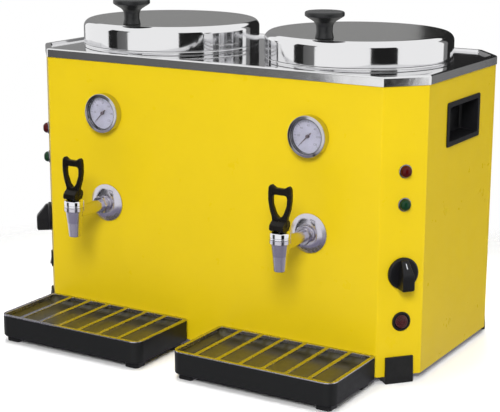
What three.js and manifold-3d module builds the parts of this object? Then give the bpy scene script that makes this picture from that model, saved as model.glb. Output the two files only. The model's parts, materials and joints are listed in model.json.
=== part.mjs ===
import * as THREE from "three";
import { mergeVertices } from "three/addons/utils/BufferGeometryUtils.js";
import Module from "manifold-3d";

// Twin-well milk dispenser, in millimetres. X runs to the right, Y to the back, Z up.
// While it is being built, Y is 0 on the outer face of the front panel and Z is 0 on the table.

// Clearances and cutting allowance
const seat_gap = 0.3;
const overrun = 2;
const weld_reach = 0.0001;

// Casing: one bent sheet with four cut-off corners, as wide and deep as the wells on it need
const casing_height = 350;
const casing_lift = 8.5;
const corner_cut_x = 38.2;
const corner_cut_y = 44.2;
const sheet = 1.2;
const return_flange = 14;
const floor_edge = 12;

// Back panel and its vents
const back_margin = 4;
const vent_width = 56;
const vent_slot = 4;
const vent_pitch = 12;
const vent_count = 6;
const vent_drop = 100;
const gland_side_gap = 52.8;
const gland_height = 40;
const gland_radius = 9;
const gland_bore = 4.5;
const gland_length = 22;
const gland_dome = 12;
const gland_flange = 12.5;
const gland_flange_thick = 3;

// Corner feet
const foot_width = 36;
const foot_rise = 24.5;
const foot_reach = 28;
const foot_proud_top = 3;
const foot_proud_bottom = 5;

// Top tray
const band_height = 11.4;
const band_proud = 1.2;
const band_round = 2.5;
const lip_width = 6;
const lip_slope = 1.5;
const deck_drop = 3;

// Wells: the deck margin runs from the casing's edge to the collars and the hinges
const deck_margin = 21.7;
const collar_gap = 45.4;
const collar_flange = 8.3;
const well_radius = 110;
const well_depth = 205;
const well_corner = 14;
const collar_height = 4.6;
const outlet_radius = 10.5;
const outlet_rise = 7.7;
const outlet_gap = 3.9;

// Lids
const lid_skirt = 30.8;
const lid_round = 9.6;
const lid_sheet = 1.2;
const knob_edge_gap = 5.2;
const knob_height = 32;
const knob_top_radius = 24;
const knob_rim = 5;
const knob_neck_radius = 10;
const knob_foot_radius = 11.5;
const knob_flare_share = 0.85;

// Lid hinges
const hinge_gap = 1;
const leaf_rise = 2.8;
const hinge_pin_radius = 2;
const knuckle_radius = 4;
const knuckle_length = 26;
const hinge_ear = 2;
const hinge_plate = 1.5;
const hinge_plate_depth = 14;
const hinge_plate_spread = 9;

// Dial thermometers
const dial_offset = 9;
const gauge_drop = 39.7;
const gauge_radius = 25.3;
const gauge_proud = 12;
const gauge_round = 3.5;
const gauge_can_radius = 22;
const gauge_can_depth = 14;
const dial_radius = 20.5;
const dial_level = 5;
const glass_thick = 1.5;
const glass_inset = 1.2;
const needle_length = 15.5;
const needle_tail = 6;
const needle_width = 2.2;
const needle_thick = 0.8;
const needle_hub_radius = 2.2;
const needle_tip_share = 0.25;
const needle_rest_angle = 225;

// Taps: heights are from the axis of the arm, the handle's from its pin
const tap_reach = 70;
const arm_radius = 7.5;
const arm_bore = 4.5;
const shank_length = 24;
const arm_hex = 20;
const arm_hex_length = 6;
const rosette_radius = 24.5;
const rosette_edge = 1.6;
const rosette_rise = 7;
const rosette_neck = 12;
const tap_nut_hex = 26;
const tap_nut_length = 8;
const spout_drop = 30;
const spout_tip_radius = 6.6;
const spout_radius = 8.8;
const spout_shoulder = 9;
const spout_bore = 4.8;
const barrel_radius = 12.5;
const barrel_top = 8.4;
const barrel_bottom = -2;
const valve_seat = -6;
const valve_radius = 9;
const bonnet_height = 8.6;
const bonnet_round = 2;
const bonnet_spigot = 3;
const stem_radius = 2.4;
const stem_eye_radius = 3.4;
const stem_flat_share = 0.9;
const seat_cup_radius = 7.6;
const seat_cup_height = 5;
const seat_cup_share = 0.6;
const handle_pin_radius = 1.5;
const cam_base = 8;
const cam_lift = 3.5;
const handle_swing = 50;
const handle_height = 46.5;
const handle_width = 30;
const handle_neck_width = 20;
const handle_limb = 5.4;
const handle_thick = 7;
const handle_bar = 8;
const handle_horn = 3;
const handle_loop = 23.5;
const handle_round = 1.4;
const slot_spare_swing = 2;

// Side of the handle and of its loop, as shares of half the width and of the height
const handle_side_shares = [
  [0.72, 0.36],
  [0.95, 0.62],
  [1, 0.82],
  [0.9, 0.96],
  [0.74, 1],
];
const handle_dip_shares = [
  [0.5, 0.4],
  [0.25, 0],
];
const loop_side_shares = [
  [0.32, 0.08],
  [0.7, 0.45],
  [1, 0.82],
  [0.82, 0.98],
];

// Controls on the front corner faces, one above the other: gaps between their rims, from the foot up
const control_along = 31;
const foot_switch_gap = 31.7;
const switch_knob_gap = 28.9;
const knob_lamp_gap = 55.4;
const lamp_gap = 23;

// Lamps
const lamp_flange_radius = 8.3;
const lamp_flange_thick = 1.7;
const lamp_flange_share = 0.6;
const lamp_body_radius = 6;
const lamp_body_depth = 16;
const lamp_lens_radius = 7;
const lamp_lens_rise = 6;
const lamp_spigot_radius = 4.3;
const lamp_spigot_depth = 5;

// Thermostats
const dial_knob_radius = 19.2;
const dial_knob_skirt = 4.5;
const dial_knob_slope = 2.5;
const grip_height = 20.5;
const grip_width = 15;
const grip_nose_width = 9;
const grip_nose_height = 7.5;
const shaft_radius = 3;
const shaft_length = 16;
const bush_radius = 4.7;
const stat_width = 34;
const stat_height = 28;
const stat_depth = 20;

// Rocker switches
const switch_flange = 2;
const switch_wall = 1.7;
const switch_bezel_thick = 2.4;
const switch_can_depth = 18;
const rocker_radius = 8.1;
const rocker_rise = 3.4;
const rocker_depth = 4;
const rocker_tilt = 8;
const rocker_room = 2.2;

// Side hand grips
const grip_frame_width = 100;
const grip_frame_height = 54;
const grip_frame_border = 4;
const grip_frame_thick = 1.6;
const grip_frame_round = 3;
const grip_pocket_depth = 24;
const grip_wall = 2;
const grip_drop = 28.7;

// Drip trays and grilles
const tray_gap = 48;
const tray_width = 220;
const tray_depth = 112;
const tray_height = 36.5;
const tray_round = 13;
const tray_back_round = 6;
const tray_wall = 2.5;
const tray_basin = 12;
const tray_foot_height = 8;
const tray_foot_size = 20;
const tray_foot_inset = 6;
const tray_back_gap = 0.6;
const grille_sheet = 1.2;
const grille_lip = 4.8;
const grille_border = 5;
const grille_bar = 5.5;
const grille_slots = 7;

// Heaters
const heater_radius = 84;
const heater_rim = 12;
const heater_thick = 13;
const heater_groove = 3;

// Facets of round pieces
const fine_facets = 28;
const plain_facets = 18;
const small_facets = 12;
const tiny_facets = 8;
const arc_steps = 3;

const half_turn = Math.PI;
const quarter_turn = Math.PI / 2;
const degree = Math.PI / 180;

// Sizes that follow from the ones above
const collar_radius = well_radius + collar_flange;
const hinge_stand = hinge_gap + hinge_plate_depth / 2;
const well_x = collar_radius + collar_gap / 2;
const well_setback = deck_margin + collar_radius;
const casing_width = 2 * (well_x + collar_radius + deck_margin);
const casing_depth = well_setback + collar_radius + hinge_stand + hinge_plate_depth / 2 + deck_margin;
const dial_x = well_x + dial_offset;
const tray_x = (tray_gap + tray_width) / 2;
const gland_x = casing_width / 2 - corner_cut_x - gland_side_gap;
const switch_can_radius = rocker_radius + switch_wall;
const switch_bezel_radius = switch_can_radius + switch_flange;

// Heights above the underside of the casing
const gauge_height = casing_height - gauge_drop - gauge_radius;
const side_grip_height = casing_height - grip_drop - grip_frame_height / 2;
const switch_height = foot_rise + foot_switch_gap + switch_bezel_radius;
const thermostat_height = switch_height + switch_bezel_radius + switch_knob_gap + dial_knob_radius;
const green_lamp_height = thermostat_height + dial_knob_radius + knob_lamp_gap + lamp_flange_radius;
const red_lamp_height = green_lamp_height + 2 * lamp_flange_radius + lamp_gap;

// Levels above the table and places that several pieces share
const casing_top = casing_lift + casing_height;
const band_top = casing_top + band_height;
const deck_level = band_top - deck_drop;
const collar_top = deck_level + seat_gap + collar_height;
const well_floor = collar_top - well_depth;
const lid_bottom = collar_top + seat_gap;
const lid_top = lid_bottom + lid_skirt;
const corner_face = Math.hypot(corner_cut_x, corner_cut_y);
const corner_turn = Math.atan2(corner_cut_y, corner_cut_x);
const tap_level = well_floor + outlet_rise;
const hinge_level = lid_bottom + leaf_rise;
const hinge_setback = well_setback + collar_radius + hinge_stand;
const bonnet_bottom = barrel_top + seat_gap;
const bonnet_top = bonnet_bottom + bonnet_height;
const pin_level = bonnet_top + seat_gap + cam_base;

const wasm = await Module();
wasm.setup();

// Finishes
function finish(color, roughness, metalness) {
  return new THREE.MeshStandardMaterial({ color, roughness, metalness });
}
const yellow_paint = finish(0xeecb1c, 0.4, 0);
const polished_steel = finish(0xc9cbce, 0.12, 1);
const chrome = finish(0xd6d9de, 0.06, 1);
const black_plastic = finish(0x1c1c1d, 0.45, 0);
const black_rubber = finish(0x161616, 0.8, 0);
const clear_glass = finish(0xeef4f6, 0.05, 0);
const red_lens = finish(0xb01218, 0.2, 0);
const green_lens = finish(0x0c6a3c, 0.2, 0);
const grey_metal = finish(0x9a9a9c, 0.5, 0.7);

// Closed, welded solid that faces outwards
function toSolid(geometry) {
  const bare = geometry.clone();
  bare.deleteAttribute("normal");
  bare.deleteAttribute("uv");
  const welded = mergeVertices(bare, weld_reach);
  const spots = welded.attributes.position.array;
  const corners = welded.index.array;
  const kept = [];
  let volume = 0;
  const a = new THREE.Vector3();
  const b = new THREE.Vector3();
  const c = new THREE.Vector3();
  for (let i = 0; i < corners.length; i += 3) {
    const [p, q, r] = corners.slice(i, i + 3);
    if (p === q || q === r || r === p) {
      continue;
    }
    kept.push(p, q, r);
    a.fromArray(spots, 3 * p);
    b.fromArray(spots, 3 * q);
    c.fromArray(spots, 3 * r);
    volume += a.dot(b.cross(c));
  }
  if (volume < 0) {
    kept.reverse();
  }
  return new wasm.Manifold(new wasm.Mesh({
    numProp: 3,
    vertProperties: new Float32Array(spots),
    triVerts: new Uint32Array(kept),
  }));
}

function joined(...geometries) {
  return geometries.map(toSolid).reduce((whole, next) => whole.add(next));
}

function cut(solid, ...geometries) {
  return geometries.map(toSolid).reduce((whole, next) => whole.subtract(next), solid);
}

function toMesh(name, solid, material) {
  const data = solid.getMesh();
  const geometry = new THREE.BufferGeometry();
  geometry.setAttribute("position", new THREE.BufferAttribute(data.vertProperties, 3));
  geometry.setIndex(new THREE.BufferAttribute(data.triVerts, 1));
  geometry.computeVertexNormals();
  const mesh = new THREE.Mesh(geometry, material);
  mesh.name = name;
  return mesh;
}

// Shapes in the plane
function points(list) {
  return list.map(([x, y]) => new THREE.Vector2(x, y));
}

function arc(x, y, radius, from, to, steps = arc_steps) {
  const list = [];
  for (let i = 0; i <= steps; i += 1) {
    const angle = (from + ((to - from) * i) / steps) * degree;
    list.push([x + radius * Math.cos(angle), y + radius * Math.sin(angle)]);
  }
  return list;
}

function outline(list) {
  return new THREE.Shape(points(list));
}

function roundedRectangle(width, height, radius, upper_radius = radius) {
  const x = width / 2 - radius;
  const y = height / 2 - radius;
  const upper_x = width / 2 - upper_radius;
  const upper_y = height / 2 - upper_radius;
  return outline([
    ...arc(x, -y, radius, -90, 0),
    ...arc(upper_x, upper_y, upper_radius, 0, 90),
    ...arc(-upper_x, upper_y, upper_radius, 90, 180),
    ...arc(-x, -y, radius, 180, 270),
  ]);
}

function hexagon(across_flats) {
  const radius = across_flats / Math.sqrt(3);
  return outline(arc(0, 0, radius, 0, 360, 6).slice(1));
}

// Solids from shapes: each runs along Z between two levels
function slab(shape, from, to) {
  const geometry = new THREE.ExtrudeGeometry(shape, { depth: to - from, bevelEnabled: false });
  return geometry.translate(0, 0, from);
}

function softSlab(shape, from, to, round) {
  const geometry = new THREE.ExtrudeGeometry(shape, {
    depth: to - from - 2 * round,
    bevelEnabled: true,
    bevelThickness: round,
    bevelSize: round,
    bevelOffset: -round,
    bevelSegments: 1,
  });
  return geometry.translate(0, 0, from + round);
}

function rod(radius, from, to, facets = small_facets) {
  const geometry = new THREE.CylinderGeometry(radius, radius, to - from, facets);
  return geometry.rotateX(quarter_turn).translate(0, 0, (from + to) / 2);
}

// Radius of a faceted bore that leaves the seat gap round a pin, also at the middle of its facets
function clear(radius, facets = small_facets) {
  return (radius + seat_gap) / Math.cos(half_turn / facets);
}

function bored(radius, from, to, facets = small_facets) {
  return rod(clear(radius, facets), from, to, facets);
}

function block(width, depth, height, x, y, z) {
  return new THREE.BoxGeometry(width, depth, height).translate(x, y, z);
}

function turned(profile, facets) {
  return new THREE.LatheGeometry(points(profile), facets).rotateX(quarter_turn);
}

// Shapes drawn as X and Y that are extruded along Z turn to lie along another axis
function alongY(geometry) {
  return geometry.rotateX(quarter_turn);
}

function alongX(geometry) {
  return geometry.rotateX(quarter_turn).rotateZ(quarter_turn);
}

// A spot on a wall: local Z points out of the wall, local Y up, local X along it
function onSpot(geometry, spot) {
  return geometry.rotateX(quarter_turn).rotateZ(spot.turn).translate(spot.x, spot.y, spot.z);
}

function standOn(mesh, spot) {
  mesh.rotation.set(quarter_turn, 0, spot.turn, "ZYX");
  mesh.position.set(spot.x, spot.y, spot.z);
  return mesh;
}

function frontSpot(x, height) {
  return { x, y: 0, z: casing_lift + height, turn: 0 };
}

function cornerSpot(side, height) {
  const share = control_along / corner_face;
  return {
    x: side * (casing_width / 2 - corner_cut_x * (1 - share)),
    y: corner_cut_y * share,
    z: casing_lift + height,
    turn: side * corner_turn,
  };
}

function sideSpot(side) {
  return {
    x: side * (casing_width / 2),
    y: casing_depth / 2,
    z: casing_lift + side_grip_height,
    turn: side * quarter_turn,
  };
}

function footSpot(side, end) {
  const front_y = corner_cut_y / 2;
  return {
    x: side * (casing_width / 2 - corner_cut_x / 2),
    y: end === "front" ? front_y : casing_depth - front_y,
    z: 0,
    turn: side * (end === "front" ? corner_turn : half_turn - corner_turn),
  };
}

// Outline of the casing moved inwards by an inset: eight corners, anticlockwise from the front left
function casingCorners(inset) {
  const moved = inset * corner_face;
  const x_front = casing_width / 2 - corner_cut_x + (corner_cut_x * inset - moved) / corner_cut_y;
  const y_side = (corner_cut_y * (corner_cut_x - inset) + moved) / corner_cut_x;
  const half = casing_width / 2 - inset;
  const rear = casing_depth - inset;
  return [
    [-x_front, inset],
    [x_front, inset],
    [half, y_side],
    [half, casing_depth - y_side],
    [x_front, rear],
    [-x_front, rear],
    [-half, casing_depth - y_side],
    [-half, y_side],
  ];
}

// Solid ring that follows the casing's outline: the profile is a closed list of inset and level
function casingRing(profile) {
  const spots = [];
  const corners = [];
  for (const [inset, level] of profile) {
    for (const [x, y] of casingCorners(inset)) {
      spots.push(x, y, level);
    }
  }
  for (let i = 0; i < profile.length; i += 1) {
    const next = (i + 1) % profile.length;
    for (let j = 0; j < 8; j += 1) {
      const k = (j + 1) % 8;
      const quad = [8 * i + j, 8 * i + k, 8 * next + k, 8 * next + j];
      corners.push(quad[0], quad[1], quad[2], quad[0], quad[2], quad[3]);
    }
  }
  const geometry = new THREE.BufferGeometry();
  geometry.setAttribute("position", new THREE.Float32BufferAttribute(spots, 3));
  geometry.setIndex(corners);
  return geometry;
}

// Sheet casing, open at the top, the bottom and most of the back
function casingWrap() {
  const outer = casingCorners(0);
  const inner = casingCorners(sheet);
  const back_edge = outer[4][0] - return_flange;
  const run = [5, 6, 7, 0, 1, 2, 3, 4];
  const shape = outline([
    [-back_edge, casing_depth],
    ...run.map((i) => outer[i]),
    [back_edge, casing_depth],
    [back_edge, casing_depth - sheet],
    ...run.map((i) => inner[i]).reverse(),
    [-back_edge, casing_depth - sheet],
  ]);
  const through = (radius, facets, spot) => onSpot(bored(radius, -sheet - overrun, overrun, facets), spot);
  const holes = [];
  for (const side of [-1, 1]) {
    const pocket = block(
      grip_frame_width - 2 * grip_frame_border + 2 * seat_gap,
      grip_frame_height - 2 * grip_frame_border + 2 * seat_gap,
      sheet + 2 * overrun, 0, 0, -sheet / 2,
    );
    holes.push(
      through(gauge_can_radius, plain_facets, frontSpot(side * dial_x, gauge_height)),
      through(arm_radius, small_facets, frontSpot(side * dial_x, tap_level - casing_lift)),
      through(lamp_body_radius, small_facets, cornerSpot(side, red_lamp_height)),
      through(lamp_body_radius, small_facets, cornerSpot(side, green_lamp_height)),
      through(bush_radius, small_facets, cornerSpot(side, thermostat_height)),
      through(switch_can_radius, plain_facets, cornerSpot(side, switch_height)),
      onSpot(pocket, sideSpot(side)),
    );
  }
  const body = cut(toSolid(slab(shape, casing_lift, casing_top)), ...holes);
  return toMesh("casing_wrap", body, yellow_paint);
}

function backPanel() {
  const width = 2 * (casing_width / 2 - corner_cut_x - back_margin);
  const height = casing_height - 2 * back_margin;
  const middle = casing_lift + casing_height / 2;
  const y = casing_depth + seat_gap + sheet / 2;
  const holes = [];
  for (const side of [-1, 1]) {
    for (let i = 0; i < vent_count; i += 1) {
      const level = casing_top - vent_drop + (i - (vent_count - 1) / 2) * vent_pitch;
      holes.push(block(vent_width, sheet + 2 * overrun, vent_slot, side * well_x, y, level));
    }
  }
  const bore = bored(gland_radius, -overrun, sheet + overrun);
  holes.push(alongY(bore).translate(gland_x, casing_depth + seat_gap + sheet, casing_lift + gland_height));
  const body = cut(toSolid(block(width, sheet, height, 0, y, middle)), ...holes);
  return toMesh("back_panel", body, yellow_paint);
}

// Gland for the supply cable, with a flange outside and its barrel through the back panel
function cableGland() {
  const outside = seat_gap + sheet + seat_gap;
  const profile = [
    [gland_bore, gland_dome - gland_length],
    [gland_radius, gland_dome - gland_length],
    [gland_radius, outside],
    [gland_flange, outside],
    [gland_flange, outside + gland_flange_thick],
    [gland_radius, outside + gland_flange_thick],
    [gland_bore + seat_gap, gland_dome],
    [gland_bore, gland_dome],
    [gland_bore, gland_dome - gland_length],
  ];
  const spot = { x: gland_x, y: casing_depth, z: casing_lift + gland_height, turn: half_turn };
  return standOn(toMesh("cable_gland", toSolid(turned(profile, small_facets)), black_plastic), spot);
}

// Floor plate that lies inside the sheet, its edge turned up against the wall
function basePlate() {
  const edge = sheet + seat_gap;
  const plate = slab(outline(casingCorners(edge)), casing_lift, casing_lift + sheet);
  const rim = casingRing([
    [edge, casing_lift],
    [edge, casing_lift + floor_edge],
    [edge + sheet, casing_lift + floor_edge],
    [edge + sheet, casing_lift],
  ]);
  const slots = [];
  for (const side of [-1, 1]) {
    for (let i = 0; i < vent_count; i += 1) {
      const y = well_setback + (i - (vent_count - 1) / 2) * vent_pitch;
      const middle = casing_lift + sheet / 2;
      slots.push(block(vent_width, vent_slot, sheet + 2 * overrun, side * well_x, y, middle));
    }
  }
  return toMesh("base_plate", cut(joined(plate, rim), ...slots), grey_metal);
}

// Foot that wraps the lower corner face and carries the casing: its section is drawn out and up
function cornerFoot(name, side, end) {
  const top = casing_lift + foot_rise;
  const section = outline([
    [-foot_reach, 0],
    [foot_proud_bottom, 0],
    [foot_proud_bottom, casing_lift],
    [foot_proud_top, top],
    [seat_gap, top],
    [seat_gap, casing_lift - seat_gap],
    [-foot_reach, casing_lift - seat_gap],
  ]);
  const geometry = slab(section, -foot_width / 2, foot_width / 2).rotateY(-quarter_turn);
  return standOn(toMesh(name, toSolid(geometry), black_rubber), footSpot(side, end));
}

// Steel tray: a hemmed band stands on the casing's edge, its lip falls to the deck
function topTray() {
  const hem = casing_top + seat_gap;
  const crest = arc(band_round - band_proud, band_top - band_round, band_round, 180, 90);
  const rim = casingRing([
    [-band_proud, hem],
    ...crest,
    [lip_width, band_top],
    [lip_width + lip_slope, deck_level],
    [lip_width + lip_slope, deck_level - sheet],
    [lip_width, band_top - sheet],
    [sheet, band_top - sheet],
    [sheet, hem],
  ]);
  const deck = outline(casingCorners(lip_width + lip_slope / 2));
  for (const side of [-1, 1]) {
    const opening = arc(side * well_x, well_setback, clear(well_radius, fine_facets), 0, 360, fine_facets);
    deck.holes.push(new THREE.Path(points(opening.slice(1))));
  }
  return toMesh("top_tray", joined(rim, slab(deck, deck_level - sheet, deck_level)), polished_steel);
}

// Round well with a flat collar that stands on the deck and an outlet at the foot of its front
function well(name, side) {
  const inside = well_radius - sheet;
  const underside = well_floor - sheet;
  const shell = turned([
    [0, underside],
    ...arc(well_radius - well_corner, underside + well_corner, well_corner, -90, 0),
    [well_radius, deck_level + seat_gap],
    [collar_radius, deck_level + seat_gap],
    [collar_radius, collar_top],
    [inside, collar_top],
    ...arc(well_radius - well_corner, underside + well_corner, well_corner - sheet, 0, -90),
    [0, well_floor],
  ], fine_facets);
  const lateral = side * dial_offset;
  const wall_y = -Math.sqrt(well_radius ** 2 - lateral ** 2);
  const inner_y = -Math.sqrt((inside - outlet_radius) ** 2 - lateral ** 2);
  const front_y = sheet + seat_gap + tap_nut_length + outlet_gap - well_setback;
  const tube = alongY(rod(outlet_radius, -wall_y - overrun, -front_y)).translate(lateral, 0, tap_level);
  const bore = alongY(bored(arm_radius, -inner_y, overrun - front_y)).translate(lateral, 0, tap_level);
  const hollow = turned([
    [0, well_floor],
    ...arc(well_radius - well_corner, underside + well_corner, well_corner - sheet, -90, 0),
    [inside, collar_top + overrun],
    [0, collar_top + overrun],
  ], fine_facets);
  const body = cut(joined(shell, tube), hollow, bore);
  const mesh = toMesh(name, body, polished_steel);
  mesh.position.set(side * well_x, well_setback, 0);
  return mesh;
}

// Lid: flat top, rounded shoulder, skirt, and at the back a leaf rolled round the hinge pin
function lid(name, side) {
  const flat = collar_radius - lid_round;
  const shell = turned([
    [0, lid_top],
    ...arc(flat, lid_top - lid_round, lid_round, 90, 0),
    [collar_radius, lid_bottom],
    [collar_radius - lid_sheet, lid_bottom],
    ...arc(flat, lid_top - lid_round, lid_round - lid_sheet, 0, 90),
    [0, lid_top - lid_sheet],
  ], fine_facets);
  const pin_y = collar_radius + hinge_stand;
  const leaf_y = collar_radius - lid_sheet / 2;
  const leaf = block(
    knuckle_length, pin_y - leaf_y, hinge_plate,
    0, (pin_y + leaf_y) / 2, hinge_level,
  );
  const knuckle = alongX(rod(knuckle_radius, -knuckle_length / 2, knuckle_length / 2));
  const bore = alongX(bored(hinge_pin_radius, -knuckle_length, knuckle_length));
  const body = cut(
    joined(shell, leaf, knuckle.translate(0, pin_y, hinge_level)),
    bore.translate(0, pin_y, hinge_level),
  );
  const mesh = toMesh(name, body, polished_steel);
  mesh.position.set(side * well_x, well_setback, 0);
  return mesh;
}

// Flared knob: a short foot, a waist and a wide rounded head
function lidKnob(name, side) {
  const waist = knob_height - knob_rim;
  const flare = new THREE.CubicBezierCurve(
    new THREE.Vector2(knob_foot_radius, 0),
    new THREE.Vector2(knob_neck_radius, waist / 2),
    new THREE.Vector2(knob_neck_radius, waist * knob_flare_share),
    new THREE.Vector2(knob_top_radius, waist),
  );
  const profile = [
    [0, 0],
    ...flare.getPoints(arc_steps).map((p) => [p.x, p.y]),
    ...arc(knob_top_radius - knob_rim / 2, knob_height - knob_rim / 2, knob_rim / 2, -45, 90),
    [0, knob_height],
  ];
  const mesh = toMesh(name, toSolid(turned(profile, plain_facets)), black_plastic);
  const forward = collar_radius - lid_round - knob_foot_radius - knob_edge_gap;
  mesh.position.set(side * well_x, well_setback - forward, lid_top + seat_gap);
  return mesh;
}

// Bracket on the deck: a plate, two ears and the pin that the lid's knuckle turns on
function lidHinge(name, side) {
  const base = deck_level + seat_gap;
  const plate_width = knuckle_length + 2 * (hinge_ear + hinge_plate_spread);
  const plate = block(plate_width, hinge_plate_depth, hinge_plate, 0, 0, base + hinge_plate / 2);
  const ear_shape = outline([
    [-hinge_plate_depth / 2, base + hinge_plate / 2],
    [hinge_plate_depth / 2, base + hinge_plate / 2],
    ...arc(0, hinge_level, knuckle_radius, 0, 180),
  ]);
  const ears = [-1, 1].map((end) => {
    const near = knuckle_length / 2 + seat_gap;
    const ear = alongX(slab(ear_shape, 0, hinge_ear));
    return ear.translate(end > 0 ? near : -near - hinge_ear, 0, 0);
  });
  const reach = knuckle_length / 2 + seat_gap + hinge_ear + hinge_pin_radius;
  const pin = alongX(rod(hinge_pin_radius, -reach, reach)).translate(0, 0, hinge_level);
  const mesh = toMesh(name, joined(plate, ...ears, pin), polished_steel);
  mesh.position.set(side * well_x, hinge_setback, 0);
  return mesh;
}

// Thermometer case: a can through the panel, a rounded bezel and the dial at the bottom of the cup
function gaugeCase(name, side) {
  const profile = [
    [0, -gauge_can_depth],
    [gauge_can_radius, -gauge_can_depth],
    [gauge_can_radius, seat_gap],
    [gauge_radius, seat_gap],
    ...arc(gauge_radius - gauge_round, gauge_proud - gauge_round, gauge_round, 0, 90),
    [dial_radius, gauge_proud - glass_inset],
    [dial_radius, dial_level],
    [0, dial_level],
  ];
  const mesh = toMesh(name, toSolid(turned(profile, plain_facets)), chrome);
  return standOn(mesh, frontSpot(side * dial_x, gauge_height));
}

function gaugeGlass(name, side) {
  const front = gauge_proud - glass_inset;
  const disc = rod(dial_radius - seat_gap, front - glass_thick, front, plain_facets);
  return standOn(toMesh(name, toSolid(disc), clear_glass), frontSpot(side * dial_x, gauge_height));
}

// Pointer: a tapered blade on a hub, at rest it points down to the left
function gaugeNeedle(name, side) {
  const half = needle_width / 2;
  const blade = outline([
    [-needle_tail, -half],
    [0, -half],
    [needle_length, -half * needle_tip_share],
    [needle_length, half * needle_tip_share],
    [0, half],
    [-needle_tail, half],
  ]);
  const low = dial_level + seat_gap;
  const hub_top = gauge_proud - glass_inset - glass_thick - seat_gap;
  const middle = (low + hub_top) / 2;
  const body = joined(
    slab(blade, middle - needle_thick / 2, middle + needle_thick / 2).rotateZ(needle_rest_angle * degree),
    rod(needle_hub_radius, low, hub_top, tiny_facets),
  );
  return standOn(toMesh(name, body, black_plastic), frontSpot(side * dial_x, gauge_height));
}

// Everything on a tap is drawn round the axis of its valve, with the arm's axis at level 0
function onTap(mesh, side) {
  mesh.position.set(side * dial_x, -tap_reach, tap_level);
  return mesh;
}

function tapBody(name, side) {
  const outside = turned([
    [0, -spout_drop],
    [spout_tip_radius, -spout_drop],
    [spout_radius, barrel_bottom - spout_shoulder],
    [barrel_radius, barrel_bottom],
    [barrel_radius, barrel_top],
    [0, barrel_top],
  ], plain_facets);
  const arm_end = tap_reach + shank_length;
  const arm = alongY(rod(arm_radius, -arm_end, 0));
  const hex_front = tap_reach - seat_gap - rosette_neck - seat_gap - arm_hex_length;
  const hex = alongY(slab(hexagon(arm_hex), -hex_front - arm_hex_length, -hex_front));
  const spout = rod(spout_bore, -spout_drop - overrun, barrel_top);
  const chamber = bored(valve_radius, valve_seat, barrel_top + overrun, plain_facets);
  const arm_hole = alongY(rod(arm_bore, -arm_end - overrun, 0));
  const body = cut(joined(outside, arm, hex), spout, chamber, arm_hole);
  return onTap(toMesh(name, body, chrome), side);
}

// Wall rosette: a domed disc with a straight neck, bored for the arm
function tapRosette(name, side) {
  const bore = clear(arm_radius, plain_facets);
  const neck = bore + rosette_edge;
  const dome = new THREE.QuadraticBezierCurve(
    new THREE.Vector2(rosette_radius, rosette_edge),
    new THREE.Vector2((rosette_radius + neck) / 2, rosette_rise),
    new THREE.Vector2(neck + rosette_edge, rosette_rise),
  );
  const profile = [
    [bore, 0],
    [rosette_radius, 0],
    ...dome.getPoints(arc_steps).map((p) => [p.x, p.y]),
    [neck, rosette_rise],
    [neck, rosette_neck],
    [bore, rosette_neck],
    [bore, 0],
  ];
  const mesh = toMesh(name, toSolid(turned(profile, plain_facets)), chrome);
  const spot = frontSpot(side * dial_x, tap_level - casing_lift);
  spot.y = -seat_gap;
  return standOn(mesh, spot);
}

// Hexagon nut on the shank, behind the front panel
function tapNut(name, side) {
  const shape = hexagon(tap_nut_hex);
  const bore = arc(0, 0, clear(arm_radius), 0, 360, small_facets);
  shape.holes.push(new THREE.Path(points(bore.slice(1))));
  const back = tap_reach + sheet + seat_gap;
  const geometry = alongY(slab(shape, -back - tap_nut_length, -back));
  return onTap(toMesh(name, toSolid(geometry), grey_metal), side);
}

function tapBonnet(name, side) {
  const bore = clear(stem_radius, plain_facets);
  const spigot = valve_radius;
  const round_x = barrel_radius - bonnet_round;
  const profile = [
    [bore, bonnet_bottom - bonnet_spigot],
    [spigot, bonnet_bottom - bonnet_spigot],
    [spigot, bonnet_bottom],
    [barrel_radius, bonnet_bottom],
    ...arc(round_x, bonnet_top - bonnet_round, bonnet_round, 0, 90),
    [bore, bonnet_top],
    [bore, bonnet_bottom - bonnet_spigot],
  ];
  return onTap(toMesh(name, toSolid(turned(profile, plain_facets)), chrome), side);
}

// Valve stem: a rubber-faced cup on its seat below, an eye for the handle's pin above
function tapStem(name, side) {
  const cup_bottom = valve_seat + seat_gap;
  const rod_part = turned([
    [0, cup_bottom],
    [seat_cup_radius, cup_bottom],
    [seat_cup_radius, cup_bottom + seat_cup_height * seat_cup_share],
    [stem_radius, cup_bottom + seat_cup_height],
    [stem_radius, pin_level],
    [0, pin_level],
  ], small_facets);
  const half = stem_radius * stem_flat_share;
  const eye = alongX(rod(stem_eye_radius, -half, half)).translate(0, 0, pin_level);
  const hole = alongX(bored(handle_pin_radius, -overrun - half, overrun + half, tiny_facets));
  const body = cut(joined(rod_part, eye), hole.translate(0, 0, pin_level));
  return onTap(toMesh(name, body, grey_metal), side);
}

// Cam of the handle, drawn as front-to-back and up from the pin. Its lower side is a flat, then the
// curve whose lowest point stays on the bonnet while the stem climbs evenly with the swing: for a
// swing s the support height is cam_base + rise * s, so the point of contact is that height along
// the normal plus its rate of change along the tangent.
function camOutline() {
  const swing = handle_swing * degree;
  const rate = cam_lift / swing;
  const steps = 2 * arc_steps;
  const list = arc(0, 0, cam_base, 90, -90, 2 * arc_steps);
  for (let i = 0; i <= steps; i += 1) {
    const s = (swing * i) / steps;
    const height = cam_base + rate * s;
    list.push([
      -height * Math.sin(s) - rate * Math.cos(s),
      -height * Math.cos(s) + rate * Math.sin(s),
    ]);
  }
  return outline(list);
}

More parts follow.
